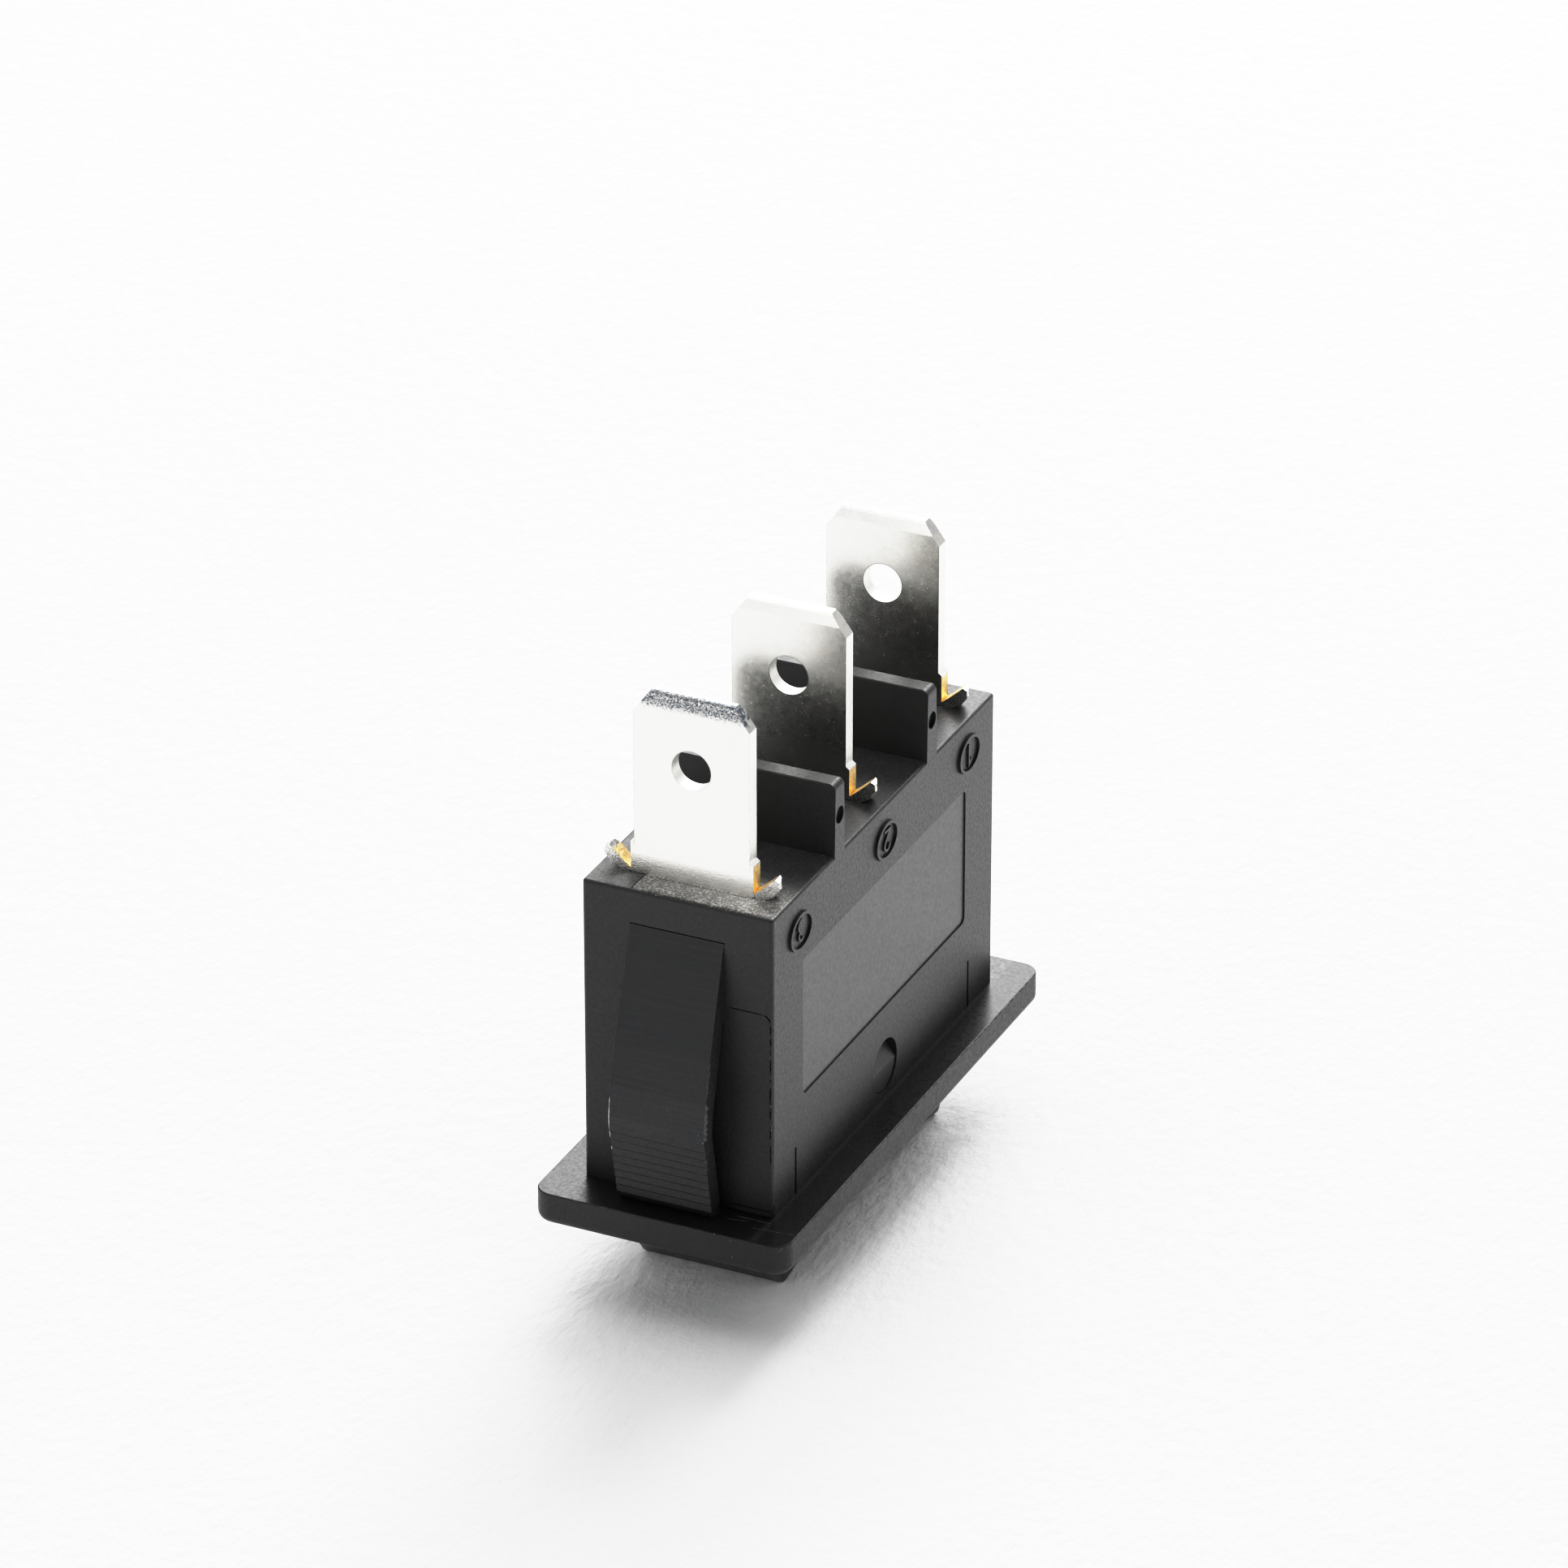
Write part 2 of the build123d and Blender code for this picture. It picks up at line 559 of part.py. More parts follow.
# -------------------------------------------------------- plunger and spring
PLUNGER_FOOT_Z = 1.5
PLUNGER_BORE_D = 2.1
PLUNGER_BORE_Z = 7.2
TIP_R = 1.1
with BuildPart() as plunger:
    with BuildSketch(Plane.XZ):
        with BuildLine():
            r = PLUNGER_D / 2
            zc = PLUNGER_TIP_Z - TIP_R
            Polyline((0, up(PLUNGER_BORE_Z)),
                     (PLUNGER_BORE_D / 2, up(PLUNGER_BORE_Z)),
                     (PLUNGER_BORE_D / 2, up(PLUNGER_FOOT_Z)),
                     (r - 0.1, up(PLUNGER_FOOT_Z)),
                     (r, up(PLUNGER_FOOT_Z + 0.1)), (r, up(zc - 0.55)),
                     (TIP_R, up(zc)))
            ThreePointArc((TIP_R, up(zc)),
                          (TIP_R * math.sin(math.pi / 4),
                           up(zc + TIP_R * math.cos(math.pi / 4))),
                          (0, up(PLUNGER_TIP_Z)))
            Line((0, up(PLUNGER_TIP_Z)), (0, up(PLUNGER_BORE_Z)))
        make_face()
    revolve(axis=Axis.Z)
plunger.part.label = "plunger"
export_step(plunger.part, "parts/plunger.step")
print("plunger", plunger.part.volume, len(plunger.part.solids()))

SPRING_LOW = -2.6
SPRING_HIGH = PLUNGER_BORE_Z
SPRING_R = (SPRING_OD - SPRING_WIRE) / 2
DEAD = SPRING_WIRE + 0.01      # pitch of the two closed end coils
wire = SPRING_WIRE / 2
z_a = SPRING_LOW + wire * 0.4          # start of the lower closed coil
z_b = z_a + DEAD                        # start of the open coils
z_d = SPRING_HIGH - wire * 0.4
z_c = z_d - DEAD
TURNS = 11
pitch = (z_c - z_b) / TURNS
with BuildPart() as plunger_spring:
    for z0, height, p in ((z_a, DEAD, DEAD), (z_b, z_c - z_b, pitch),
                          (z_c, DEAD, DEAD)):
        with BuildLine() as path:
            Helix(pitch=p, height=height, radius=SPRING_R,
                  center=(0, 0, up(z0)))
        with BuildSketch(Plane(origin=path.line @ 0, z_dir=path.line % 0)):
            Circle(wire)
        sweep(path=path.line, is_frenet=True)
    for z0 in (z_b, z_c):
        with Locations((SPRING_R, 0, up(z0))):
            Sphere(wire * 1.002)
    # ground flat at both ends
    with BuildSketch(Plane.XY.offset(up(SPRING_LOW - 1))):
        Circle(2)
    extrude(amount=1, mode=Mode.SUBTRACT)
    with BuildSketch(Plane.XY.offset(up(SPRING_HIGH))):
        Circle(2)
    extrude(amount=1, mode=Mode.SUBTRACT)
plunger_spring.part.label = "plunger_spring"
export_step(plunger_spring.part, "parts/plunger_spring.step")
print("plunger_spring", plunger_spring.part.volume,
      len(plunger_spring.part.solids()), plunger_spring.part.bounding_box())
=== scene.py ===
import json
import math
import random

import bmesh
import bpy
from mathutils import Matrix, Vector, noise


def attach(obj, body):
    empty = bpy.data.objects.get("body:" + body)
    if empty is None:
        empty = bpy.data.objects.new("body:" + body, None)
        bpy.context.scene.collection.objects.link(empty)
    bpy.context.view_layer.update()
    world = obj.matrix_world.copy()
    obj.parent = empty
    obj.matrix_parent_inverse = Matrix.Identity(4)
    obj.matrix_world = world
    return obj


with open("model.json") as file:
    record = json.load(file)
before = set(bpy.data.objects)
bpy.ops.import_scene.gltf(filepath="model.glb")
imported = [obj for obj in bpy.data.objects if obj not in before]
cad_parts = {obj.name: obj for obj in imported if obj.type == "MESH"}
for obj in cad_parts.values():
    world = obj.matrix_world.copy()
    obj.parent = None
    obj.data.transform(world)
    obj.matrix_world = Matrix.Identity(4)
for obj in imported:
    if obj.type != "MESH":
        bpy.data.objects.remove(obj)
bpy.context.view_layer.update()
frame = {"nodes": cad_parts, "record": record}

# Metres, same frame as the model: +Z up, Y along the bezel, X across it.
MM = 0.001
SEAT = 6.2            # bezel rear face above the floor, mm
WORLD = 1.17
KEY = 37.0
CARD = 2.6


def up(z):
    return SEAT + z


# ---------------------------------------------------------------- materials
class Mat:
    """A small helper around a node tree."""

    def __init__(self, name):
        self.m = bpy.data.materials.new(name)
        self.m.use_nodes = True
        self.t = self.m.node_tree
        self.t.nodes.clear()
        self.out = self.t.nodes.new("ShaderNodeOutputMaterial")
        self.bsdf = self.t.nodes.new("ShaderNodeBsdfPrincipled")
        self.t.links.new(self.bsdf.outputs[0], self.out.inputs[0])
        self.coord = self.t.nodes.new("ShaderNodeTexCoord").outputs["Object"]

    def set(self, **kw):
        for k, v in kw.items():
            self.bsdf.inputs[k.replace("_", " ")].default_value = v
        return self

    def link(self, a, b):
        self.t.links.new(a, b)

    def node(self, kind, **props):
        n = self.t.nodes.new(kind)
        for k, v in props.items():
            setattr(n, k, v)
        return n

    def scaled(self, sx, sy, sz, rot=(0, 0, 0)):
        n = self.node("ShaderNodeMapping")
        n.inputs["Scale"].default_value = (sx, sy, sz)
        n.inputs["Rotation"].default_value = rot
        self.link(self.coord, n.inputs["Vector"])
        return n.outputs[0]

    def noise(self, scale, detail=2.0, rough=0.5, vec=None, distortion=0.0):
        n = self.node("ShaderNodeTexNoise")
        n.inputs["Scale"].default_value = scale
        n.inputs["Detail"].default_value = detail
        n.inputs["Roughness"].default_value = rough
        n.inputs["Distortion"].default_value = distortion
        self.link(vec if vec is not None else self.coord, n.inputs["Vector"])
        return n.outputs["Fac"]

    def voronoi(self, scale, vec=None, feature="F1"):
        n = self.node("ShaderNodeTexVoronoi", feature=feature)
        n.inputs["Scale"].default_value = scale
        self.link(vec if vec is not None else self.coord, n.inputs["Vector"])
        return n.outputs["Distance"]

    def ramp(self, fac, *stops):
        n = self.node("ShaderNodeValToRGB")
        el = n.color_ramp.elements
        while len(el) < len(stops):
            el.new(0.5)
        for e, (p, c) in zip(el, stops):
            e.position = p
            e.color = (c, c, c, 1) if isinstance(c, (int, float)) else (*c, 1)
        self.link(fac, n.inputs[0])
        return n.outputs[0]

    def remap(self, fac, a, b, c, d, clamp=True):
        n = self.node("ShaderNodeMapRange", clamp=clamp)
        n.inputs["From Min"].default_value = a
        n.inputs["From Max"].default_value = b
        n.inputs["To Min"].default_value = c
        n.inputs["To Max"].default_value = d
        self.link(fac, n.inputs["Value"])
        return n.outputs[0]

    def math(self, op, a, b=None):
        n = self.node("ShaderNodeMath", operation=op)
        for i, v in enumerate((a, b)):
            if v is None:
                continue
            if isinstance(v, (int, float)):
                n.inputs[i].default_value = v
            else:
                self.link(v, n.inputs[i])
        return n.outputs[0]

    def mix(self, fac, a, b):
        n = self.node("ShaderNodeMix", data_type="RGBA")
        if isinstance(fac, (int, float)):
            n.inputs[0].default_value = fac
        else:
            self.link(fac, n.inputs[0])
        for i, v in ((6, a), (7, b)):
            if isinstance(v, tuple):
                n.inputs[i].default_value = (*v, 1)
            else:
                self.link(v, n.inputs[i])
        return n.outputs[2]

    def axis(self):
        """The object coordinates as three numbers."""
        n = self.node("ShaderNodeSeparateXYZ")
        self.link(self.coord, n.inputs[0])
        return n.outputs[0], n.outputs[1], n.outputs[2]

    def normal(self):
        """The surface's own direction in the object, as three numbers."""
        g = self.node("ShaderNodeTexCoord")
        n = self.node("ShaderNodeSeparateXYZ")
        self.link(g.outputs["Normal"], n.inputs[0])
        return n.outputs[0], n.outputs[1], n.outputs[2]

    def bump(self, height, distance, strength=1.0, base=None):
        n = self.node("ShaderNodeBump")
        n.inputs["Strength"].default_value = strength
        n.inputs["Distance"].default_value = distance
        self.link(height, n.inputs["Height"])
        if base is not None:
            self.link(base, n.inputs["Normal"])
        return n.outputs[0]

    def band(self, v, a, b, soft):
        """1 where a < v < b, with soft ends."""
        lo = self.remap(v, a - soft, a + soft, 0, 1)
        hi = self.remap(v, b - soft, b + soft, 1, 0)
        return self.math("MULTIPLY", lo, hi)


def black_nylon():
    """Glass-filled nylon as moulded: each face keeps the grain, gloss and relief of its own
    part of the mould; the colour of several faces also carries painted light and painted highlights."""
    k = Mat("black_nylon")
    k.set(Metallic=0.0, IOR=1.4)
    x, y, z = k.axis()
    nx, ny, nz = k.normal()
    side = k.remap(nx, 0.6, 0.85, 0, 1)
    top = k.remap(nz, 0.6, 0.85, 0, 1)
    end = k.remap(ny, -0.6, -0.85, 0, 1)
    mm = MM
    # places
    panel = k.math("MULTIPLY", k.math("MULTIPLY", k.band(y, -9.93 * mm, 9.9 * mm, 0.03 * mm),
                                      k.band(z, up(5.28) * mm, up(12.96) * mm, 0.03 * mm)), side)
    crown = k.math("MULTIPLY", top, k.remap(z, up(16.4) * mm, up(16.7) * mm, 0, 1))
    near = k.math("MULTIPLY", k.remap(y, -9.6 * mm, -11.6 * mm, 0, 1),
                  k.remap(k.math("ADD", y, k.math("MULTIPLY", k.math("SUBTRACT", k.noise(3000, 3, 0.6), 0.5), 0.4 * mm)),
                          -13.4 * mm, -13.15 * mm, 0.1, 1.0))
    right = k.math("MULTIPLY", k.math("MULTIPLY", k.remap(x, -2.56 * mm, 2.6 * mm, 0.5, 1.0),
                                      k.remap(x, -2.58 * mm, -2.5 * mm, 0.05, 1.0)),
                   k.remap(x, 3.2 * mm, 4.2 * mm, 1.0, 0.35))
    coarse_and_glint = k.math("MULTIPLY", k.math("MULTIPLY", crown, near), right)
    flange = k.math("MULTIPLY", top, k.band(z, up(-0.25) * mm, up(0.1) * mm, 0.03 * mm))
    strip = k.math("MULTIPLY", flange, k.remap(x, 5.2 * mm, 5.5 * mm, 0, 1))
    arm = k.math("MULTIPLY", k.math("MULTIPLY", k.remap(y, -13.5 * mm, -13.56 * mm, 0, 1),
                                    k.band(z, up(0.02) * mm, up(15.0) * mm, 0.02 * mm)),
                 k.remap(ny, -0.2, -0.5, 0, 1))
    arm_hi = k.math("MULTIPLY", arm, k.remap(z, up(4.6) * mm, up(5.0) * mm, 0, 1))
    # textures
    fine = k.noise(11000, 2, 0.5)
    grain = k.noise(5200, 3, 0.6)
    pits = k.noise(2900, 3, 0.6)
    rocks = k.voronoi(7600, feature="F1")
    clumps = k.noise(1500, 3, 0.6)
    cloud = k.noise(230, 3, 0.5)
    patch = k.noise(1.0, 3, 0.55, vec=k.scaled(150, 300, 520))
    speck = k.noise(8200, 2, 0.55)
    across = k.noise(1.0, 4, 0.65, vec=k.scaled(170, 400, 9000, rot=(0, math.radians(-2), 0)))
    along = k.noise(1.0, 4, 0.6, vec=k.scaled(5600, 260, 3000))
    swirl = k.noise(1.0, 4, 0.65, vec=k.scaled(5200, 700, 3000, rot=(0, 0, math.radians(14))))
    # colour
    base = k.mix(k.remap(cloud, 0.3, 0.7, 0, 1), (0.006, 0.0062, 0.0064),
                 (0.009, 0.0092, 0.0095))
    # painted light: faces turned to the front, above the bezel, are painted a little paler, standing in for light they
    # catch
    above = k.math("MULTIPLY", end, k.remap(z, up(0.0) * mm, up(0.1) * mm, 0, 0.5))
    base = k.mix(above, base, (0.0135, 0.0137, 0.014))
    # painted highlight: the coarse patch of the terminal face in front of the near blade is painted pale, paler towards
    # the blade as a painted reflection of its bright face, with near-white painted glints; its grain and relief are
    # real
    glint = k.noise(10500, 2, 0.6)
    painted_glint = k.math("MULTIPLY", k.remap(k.math("ADD", k.math("MULTIPLY", glint, 0.75),
                                              k.math("MULTIPLY", clumps, 0.25)), 0.49, 0.62, 0, 1),
                   coarse_and_glint)
    blade_reflection_ramp = k.remap(y, -13.25 * mm, -12.0 * mm, 0.5, 1.0)
    base = k.mix(k.math("MULTIPLY", k.math("MULTIPLY", coarse_and_glint, blade_reflection_ramp), 0.85), base, (0.36, 0.354, 0.338))
    base = k.mix(k.math("MULTIPLY", painted_glint, 0.9), base, (0.85, 0.83, 0.78))
    # painted highlight: beside the coarse patch the terminal face is painted paler, standing in for the sheen its
    # roughness takes away
    beside = k.math("MULTIPLY", k.math("MULTIPLY", crown, near), k.remap(x, -2.5 * mm, -2.6 * mm, 0, 1))
    base = k.mix(k.math("MULTIPLY", beside, k.remap(speck, 0.35, 0.65, 0.5, 1.0)), base, (0.13, 0.13, 0.127))
    # painted light: the rest of the terminal face, between the barriers, is painted a paler grey, standing in for the
    # light it catches
    floor_of = k.math("MULTIPLY", k.math("SUBTRACT", crown, k.math("MULTIPLY", crown, near)),
                      k.remap(z, up(17.1) * mm, up(16.95) * mm, 0, 1))
    base = k.mix(k.math("MULTIPLY", floor_of, k.remap(speck, 0.35, 0.65, 0.3, 1.0)), base, (0.034, 0.034, 0.0345))
    # partly painted sheen: the +X side faces are painted paler, standing in for their reflection of the bright floor;
    # the speckle follows the grain
    speck_and_sheen = k.remap(speck, 0.38, 0.62, 0.0, 0.75)
    base = k.mix(k.math("MULTIPLY", side, speck_and_sheen), base, (0.026, 0.0263, 0.0266))
    # painted sheen: the smooth side panel is painted paler, standing in for the sheen of its smoother face
    base = k.mix(k.math("MULTIPLY", panel, 0.85), base, (0.044, 0.0443, 0.0446))
    base = k.mix(k.math("MULTIPLY", arm_hi, k.remap(patch, 0.42, 0.66, 0.0, 0.8)), base, (0.007, 0.0085, 0.0125))
    base = k.mix(k.math("MULTIPLY", arm_hi, k.remap(across, 0.48, 0.66, 0.0, 0.3)), base, (0.019, 0.0192, 0.0195))
    k.link(base, k.bsdf.inputs["Base Color"])
    # painted light: the bezel's rear strip beside the body is painted paler towards its outer edge, where it sees more
    # sky; this mix and the next come after the colour is linked and are not used
    base = k.mix(k.math("MULTIPLY", strip, k.remap(x, 5.3 * mm, 6.3 * mm, 0.15, 0.9)), base, (0.062, 0.063, 0.064))
    # painted light: faces turned to the back, such as the barriers' rear faces, are painted paler to brighten their
    # images in the blades
    rear = k.math("MULTIPLY", k.remap(ny, 0.6, 0.85, 0, 0.9), k.remap(z, up(16.8) * mm, up(17.0) * mm, 0, 1))
    base = k.mix(rear, base, (0.062, 0.0625, 0.063))
    # gloss
    rough = k.remap(grain, 0.3, 0.7, 0.44, 0.6)
    rough = k.math("SUBTRACT", rough, k.math("MULTIPLY", k.math("MAXIMUM", side, top), 0.1))
    rough = k.math("SUBTRACT", rough, k.math("MULTIPLY", panel, 0.06))
    rough = k.math("SUBTRACT", rough, k.math("MULTIPLY", coarse_and_glint, 0.12))
    rough = k.math("ADD", rough, k.math("MULTIPLY", beside, 0.24))
    rough = k.math("SUBTRACT", rough, k.math("MULTIPLY", strip, 0.1))
    rough = k.math("SUBTRACT", rough, k.math("MULTIPLY", arm_hi, k.remap(across, 0.3, 0.7, 0.0, 0.08)))
    k.link(rough, k.bsdf.inputs["Roughness"])
    # how strongly each face shines
    plate = k.math("MULTIPLY", k.math("SUBTRACT", crown, coarse_and_glint), k.remap(z, up(17.1) * mm, up(16.95) * mm, 0, 1))
    level = k.math("SUBTRACT", 0.5, k.math("MULTIPLY", k.math("MULTIPLY", top, k.math("SUBTRACT", 1.0, coarse_and_glint)), 0.14))
    level = k.math("SUBTRACT", level, k.math("MULTIPLY", plate, 0.12))
    level = k.math("SUBTRACT", level, k.math("MULTIPLY", strip, 0.16))
    level = k.math("SUBTRACT", level, k.math("MULTIPLY", flange, 0.04))
    low_side = k.math("MULTIPLY", side, k.remap(z, up(0.1) * mm, up(-0.1) * mm, 0, 1))
    level = k.math("SUBTRACT", level, k.math("MULTIPLY", low_side, 0.15))
    level = k.math("SUBTRACT", level, k.math("MULTIPLY", side, 0.04))
    k.link(level, k.bsdf.inputs["Specular IOR Level"])
    # relief, as a height in micrometres
    h = k.math("MULTIPLY", k.math("SUBTRACT", k.math("ADD", k.math("MULTIPLY", grain, 0.7),
                                                     k.math("MULTIPLY", pits, 0.5)), 0.6), 1.0)
    amp = k.math("ADD", 1.5, k.math("MULTIPLY", side, 8.5))
    amp = k.math("ADD", amp, k.math("MULTIPLY", top, 4.5))
    amp = k.math("ADD", amp, k.math("MULTIPLY", beside, 4.0))
    amp = k.math("SUBTRACT", amp, k.math("MULTIPLY", strip, 5.3))
    amp = k.math("ADD", amp, k.math("MULTIPLY", end, 3.0))
    amp = k.math("MULTIPLY", amp, k.math("SUBTRACT", 1.0, k.math("MULTIPLY", panel, 0.75)))
    amp = k.math("MULTIPLY", amp, k.math("SUBTRACT", 1.0, k.math("MULTIPLY", arm, 0.6)))
    h = k.math("MULTIPLY", h, amp)
    h = k.math("ADD", h, k.math("MULTIPLY", k.math("MULTIPLY", rocks, coarse_and_glint), 16.0))
    h = k.math("ADD", h, k.math("MULTIPLY", k.math("MULTIPLY", glint, coarse_and_glint), 14.0))
    h = k.math("ADD", h, k.math("MULTIPLY", k.math("MULTIPLY", clumps, coarse_and_glint), 6.0))
    h = k.math("ADD", h, k.math("MULTIPLY", k.math("MULTIPLY", across, arm_hi), 2.6))
    h = k.math("ADD", h, k.math("MULTIPLY", k.math("MULTIPLY", swirl, strip), 2.5))
    h = k.math("ADD", h, k.math("MULTIPLY", k.math("MULTIPLY", speck, side),
                                k.math("SUBTRACT", 11.0, k.math("MULTIPLY", panel, 4.0))))
    h = k.math("ADD", h, k.math("MULTIPLY", k.math("MULTIPLY", speck, end), 8.0))
    h = k.math("ADD", h, k.math("MULTIPLY", fine, 0.5))
    k.link(k.bump(h, 0.000001, 1.0), k.bsdf.inputs["Normal"])
    return k.m


def rocker_black():
    k = Mat("rocker_black")
    k.set(Metallic=0.0, IOR=1.5)
    grain = k.noise(4200, 3, 0.6)
    cloud = k.noise(220, 3, 0.5)
    fine = k.noise(1.0, 3, 0.6, vec=k.scaled(5200, 500, 1500))
    col = k.mix(k.remap(cloud, 0.3, 0.7, 0, 1), (0.0105, 0.0105, 0.011),
                (0.0155, 0.0155, 0.016))
    # painted light: the end below the bezel is painted a little paler than the rest, standing in for light it misses in
    # the bezel's shade
    ends = k.remap(k.normal()[1], -0.35, -0.75, 0, 0.85)
    col = k.mix(ends, col, (0.055, 0.055, 0.056))
    k.link(col, k.bsdf.inputs["Base Color"])
    k.link(k.remap(grain, 0.3, 0.7, 0.36, 0.5), k.bsdf.inputs["Roughness"])
    h = k.math("ADD", grain, k.math("MULTIPLY", fine, 0.4))
    k.link(k.bump(h, 0.000005, 1.0), k.bsdf.inputs["Normal"])
    return k.m


def tinned():
    """Rolled brass strip, tinned before blanking: the sheared edges at the
    foot show the brass, the blade's own edges are tinned over."""
    k = Mat("tinned_brass")
    k.set(Metallic=1.0, IOR=1.5)
    mm = MM
    x, y, z = k.axis()
    nx, ny, nz = k.normal()
    ax = k.math("ABSOLUTE", x)
    flat = k.math("ABSOLUTE", ny)
    edge = k.remap(flat, 0.75, 0.45, 0, 1)
    # place across the blade's thickness, the same for the three blades
    t = k.math("SUBTRACT", k.math("FLOORED_MODULO", k.math("ADD", y, 5.675 * mm), 11.35 * mm), 5.675 * mm)
    mott = k.noise(2600, 4, 0.6)
    gritty = k.noise(6200, 3, 0.6)
    cloud = k.noise(300, 3, 0.5)
    roll = k.noise(1.0, 4, 0.6, vec=k.scaled(4200, 900, 420))
    shear = k.noise(1.0, 4, 0.6, vec=k.scaled(1500, 7500, 1500))
    spots = k.voronoi(3400)
    spot = k.math("MULTIPLY", k.remap(spots, 0.17, 0.07, 0, 1), k.remap(cloud, 0.45, 0.6, 0, 1))
    spot = k.math("MULTIPLY", spot, k.remap(y, -9 * mm, -7 * mm, 0.12, 1.0))
    # brass of the sheared foot
    wob = k.math("MULTIPLY", k.math("SUBTRACT", mott, 0.5), 0.35 * mm)
    foot = k.math("MULTIPLY", k.band(k.math("ADD", z, wob), up(16.6) * mm, up(18.52) * mm, 0.04 * mm),
                  k.band(k.math("ADD", ax, wob), 3.2 * mm, 4.3 * mm, 0.05 * mm))
    brass = k.math("MULTIPLY", foot, k.math("MULTIPLY", edge, k.remap(nz, -0.3, -0.1, 0, 1)))
    ear = k.math("MULTIPLY", k.remap(ax, 3.36 * mm, 3.42 * mm, 0, 1),
                 k.band(z, up(16.6) * mm, up(18.4) * mm, 0.05 * mm))
    coin = k.math("MULTIPLY", k.remap(z, up(26.38) * mm, up(26.5) * mm, 0, 1), k.remap(flat, 0.995, 0.97, 0, 1))
    inner = k.remap(z, up(15.2) * mm, up(14.9) * mm, 0, 1)
    tin = k.mix(k.remap(cloud, 0.3, 0.7, 0, 1), (0.83, 0.82, 0.77), (0.87, 0.86, 0.815))
    yellow = k.mix(k.remap(gritty, 0.35, 0.65, 0, 1), (0.78, 0.5, 0.17), (1.0, 0.78, 0.42))
    col = k.mix(brass, tin, yellow)
    # the near blade's coined bevel is painted dark and mottled, a painted reflection of the dark room in front; dark
    # streaks on its chamfer, a greyer coin on the far blade and a dark grey top on the far blade
    near = k.remap(y, -9 * mm, -10 * mm, 0, 1)
    far = k.remap(y, 9 * mm, 10 * mm, 0, 1)
    fleck = k.noise(1.0, 3, 0.7, vec=k.scaled(10500, 10500, 13500, rot=(0, math.radians(24), 0)), distortion=0.5)
    fuzz = k.math("MULTIPLY", k.math("SUBTRACT", gritty, 0.5), 0.7 * mm)
    band = k.remap(k.math("ADD", z, fuzz), up(26.22) * mm, up(26.5) * mm, 0, 1)
    band = k.math("MULTIPLY", k.math("MULTIPLY", band, near), k.remap(y, -10.98 * mm, -11.04 * mm, 0, 1))
    chamfer_streaks = k.math("MULTIPLY", k.math("MULTIPLY", near, k.remap(k.math("MULTIPLY", ax, k.remap(nz, 0.2, 0.4, 0, 1)),
                                                             2.3 * mm, 2.4 * mm, 0, 1)),
                  k.remap(z, up(25.95) * mm, up(26.3) * mm, 0, 1.0))
    streak = k.noise(1.0, 3, 0.6, vec=k.scaled(8000, 3500, 1400, rot=(0, math.radians(-36), 0)))
    chamfer_streaks = k.math("MULTIPLY", chamfer_streaks, k.remap(streak, 0.42, 0.52, 0, 1))
    bevel_dark_and_streaks = k.math("MAXIMUM", k.math("MULTIPLY", band, k.remap(fleck, 0.4, 0.56, 0.3, 1.0)), chamfer_streaks)
    col = k.mix(bevel_dark_and_streaks, col, (0.085, 0.1, 0.125))
    col = k.mix(k.math("MULTIPLY", k.math("MULTIPLY", coin, far), k.remap(mott, 0.4, 0.6, 0.1, 0.6)), col,
                (0.5, 0.49, 0.53))
    lid = k.math("MULTIPLY", k.math("MULTIPLY", k.remap(nz, 0.6, 0.8, 0, 0.92), far),
                 k.remap(z, up(26.8) * mm, up(27.0) * mm, 0, 1))
    col = k.mix(lid, col, (0.085, 0.083, 0.09))
    # the ears' torn skin
    col = k.mix(k.math("MULTIPLY", k.math("MULTIPLY", ear, k.math("SUBTRACT", 1.0, brass)),
                       k.remap(fleck, 0.42, 0.58, 0, 0.75)), col, (0.2, 0.2, 0.205))
    # the fine dark line where face and sheared edge meet
    rim = k.math("MULTIPLY", k.band(k.math("ADD", ax, k.math("MULTIPLY", wob, 0.12)), 3.118 * mm, 3.2 * mm, 0.012 * mm),
                 k.band(z, up(18.4) * mm, up(26.1) * mm, 0.2 * mm))
    rim = k.math("MULTIPLY", k.math("MULTIPLY", rim, k.remap(flat, 0.9, 0.98, 0, 1)), k.remap(mott, 0.38, 0.6, 0.15, 0.8))
    col = k.mix(rim, col, (0.3, 0.3, 0.29))
    # and round the hole's rim
    zh = k.math("SUBTRACT", z, up(23.22) * mm)
    rr = k.math("SQRT", k.math("ADD", k.math("MULTIPLY", x, x), k.math("MULTIPLY", zh, zh)))
    hoop = k.math("MULTIPLY", k.band(rr, 1.03 * mm, 1.105 * mm, 0.01 * mm), k.remap(flat, 0.9, 0.98, 0, 1))
    col = k.mix(k.math("MULTIPLY", hoop, k.remap(mott, 0.35, 0.6, 0.5, 0.9)), col, (0.3, 0.3, 0.29))
    k.link(col, k.bsdf.inputs["Base Color"])
    low = k.math("MULTIPLY", k.remap(z, up(18.15) * mm, up(17.55) * mm, 0, 1), k.remap(y, -11.0 * mm, -11.3 * mm, 0, 1))
    rough = k.remap(mott, 0.3, 0.7, 0.15, 0.23)
    rough = k.math("ADD", rough, k.remap(y, -9 * mm, -7 * mm, 0.0, 0.05))
    rough = k.math("SUBTRACT", rough, k.math("MULTIPLY", low, 0.09))
    rough = k.math("ADD", rough, k.math("MULTIPLY", spot, 0.07))
    rough = k.math("ADD", rough, k.math("MULTIPLY", edge, 0.05))
    rough = k.math("ADD", rough, k.math("MULTIPLY", brass, 0.2))
    rough = k.math("ADD", rough, k.math("MULTIPLY", ear, 0.12))
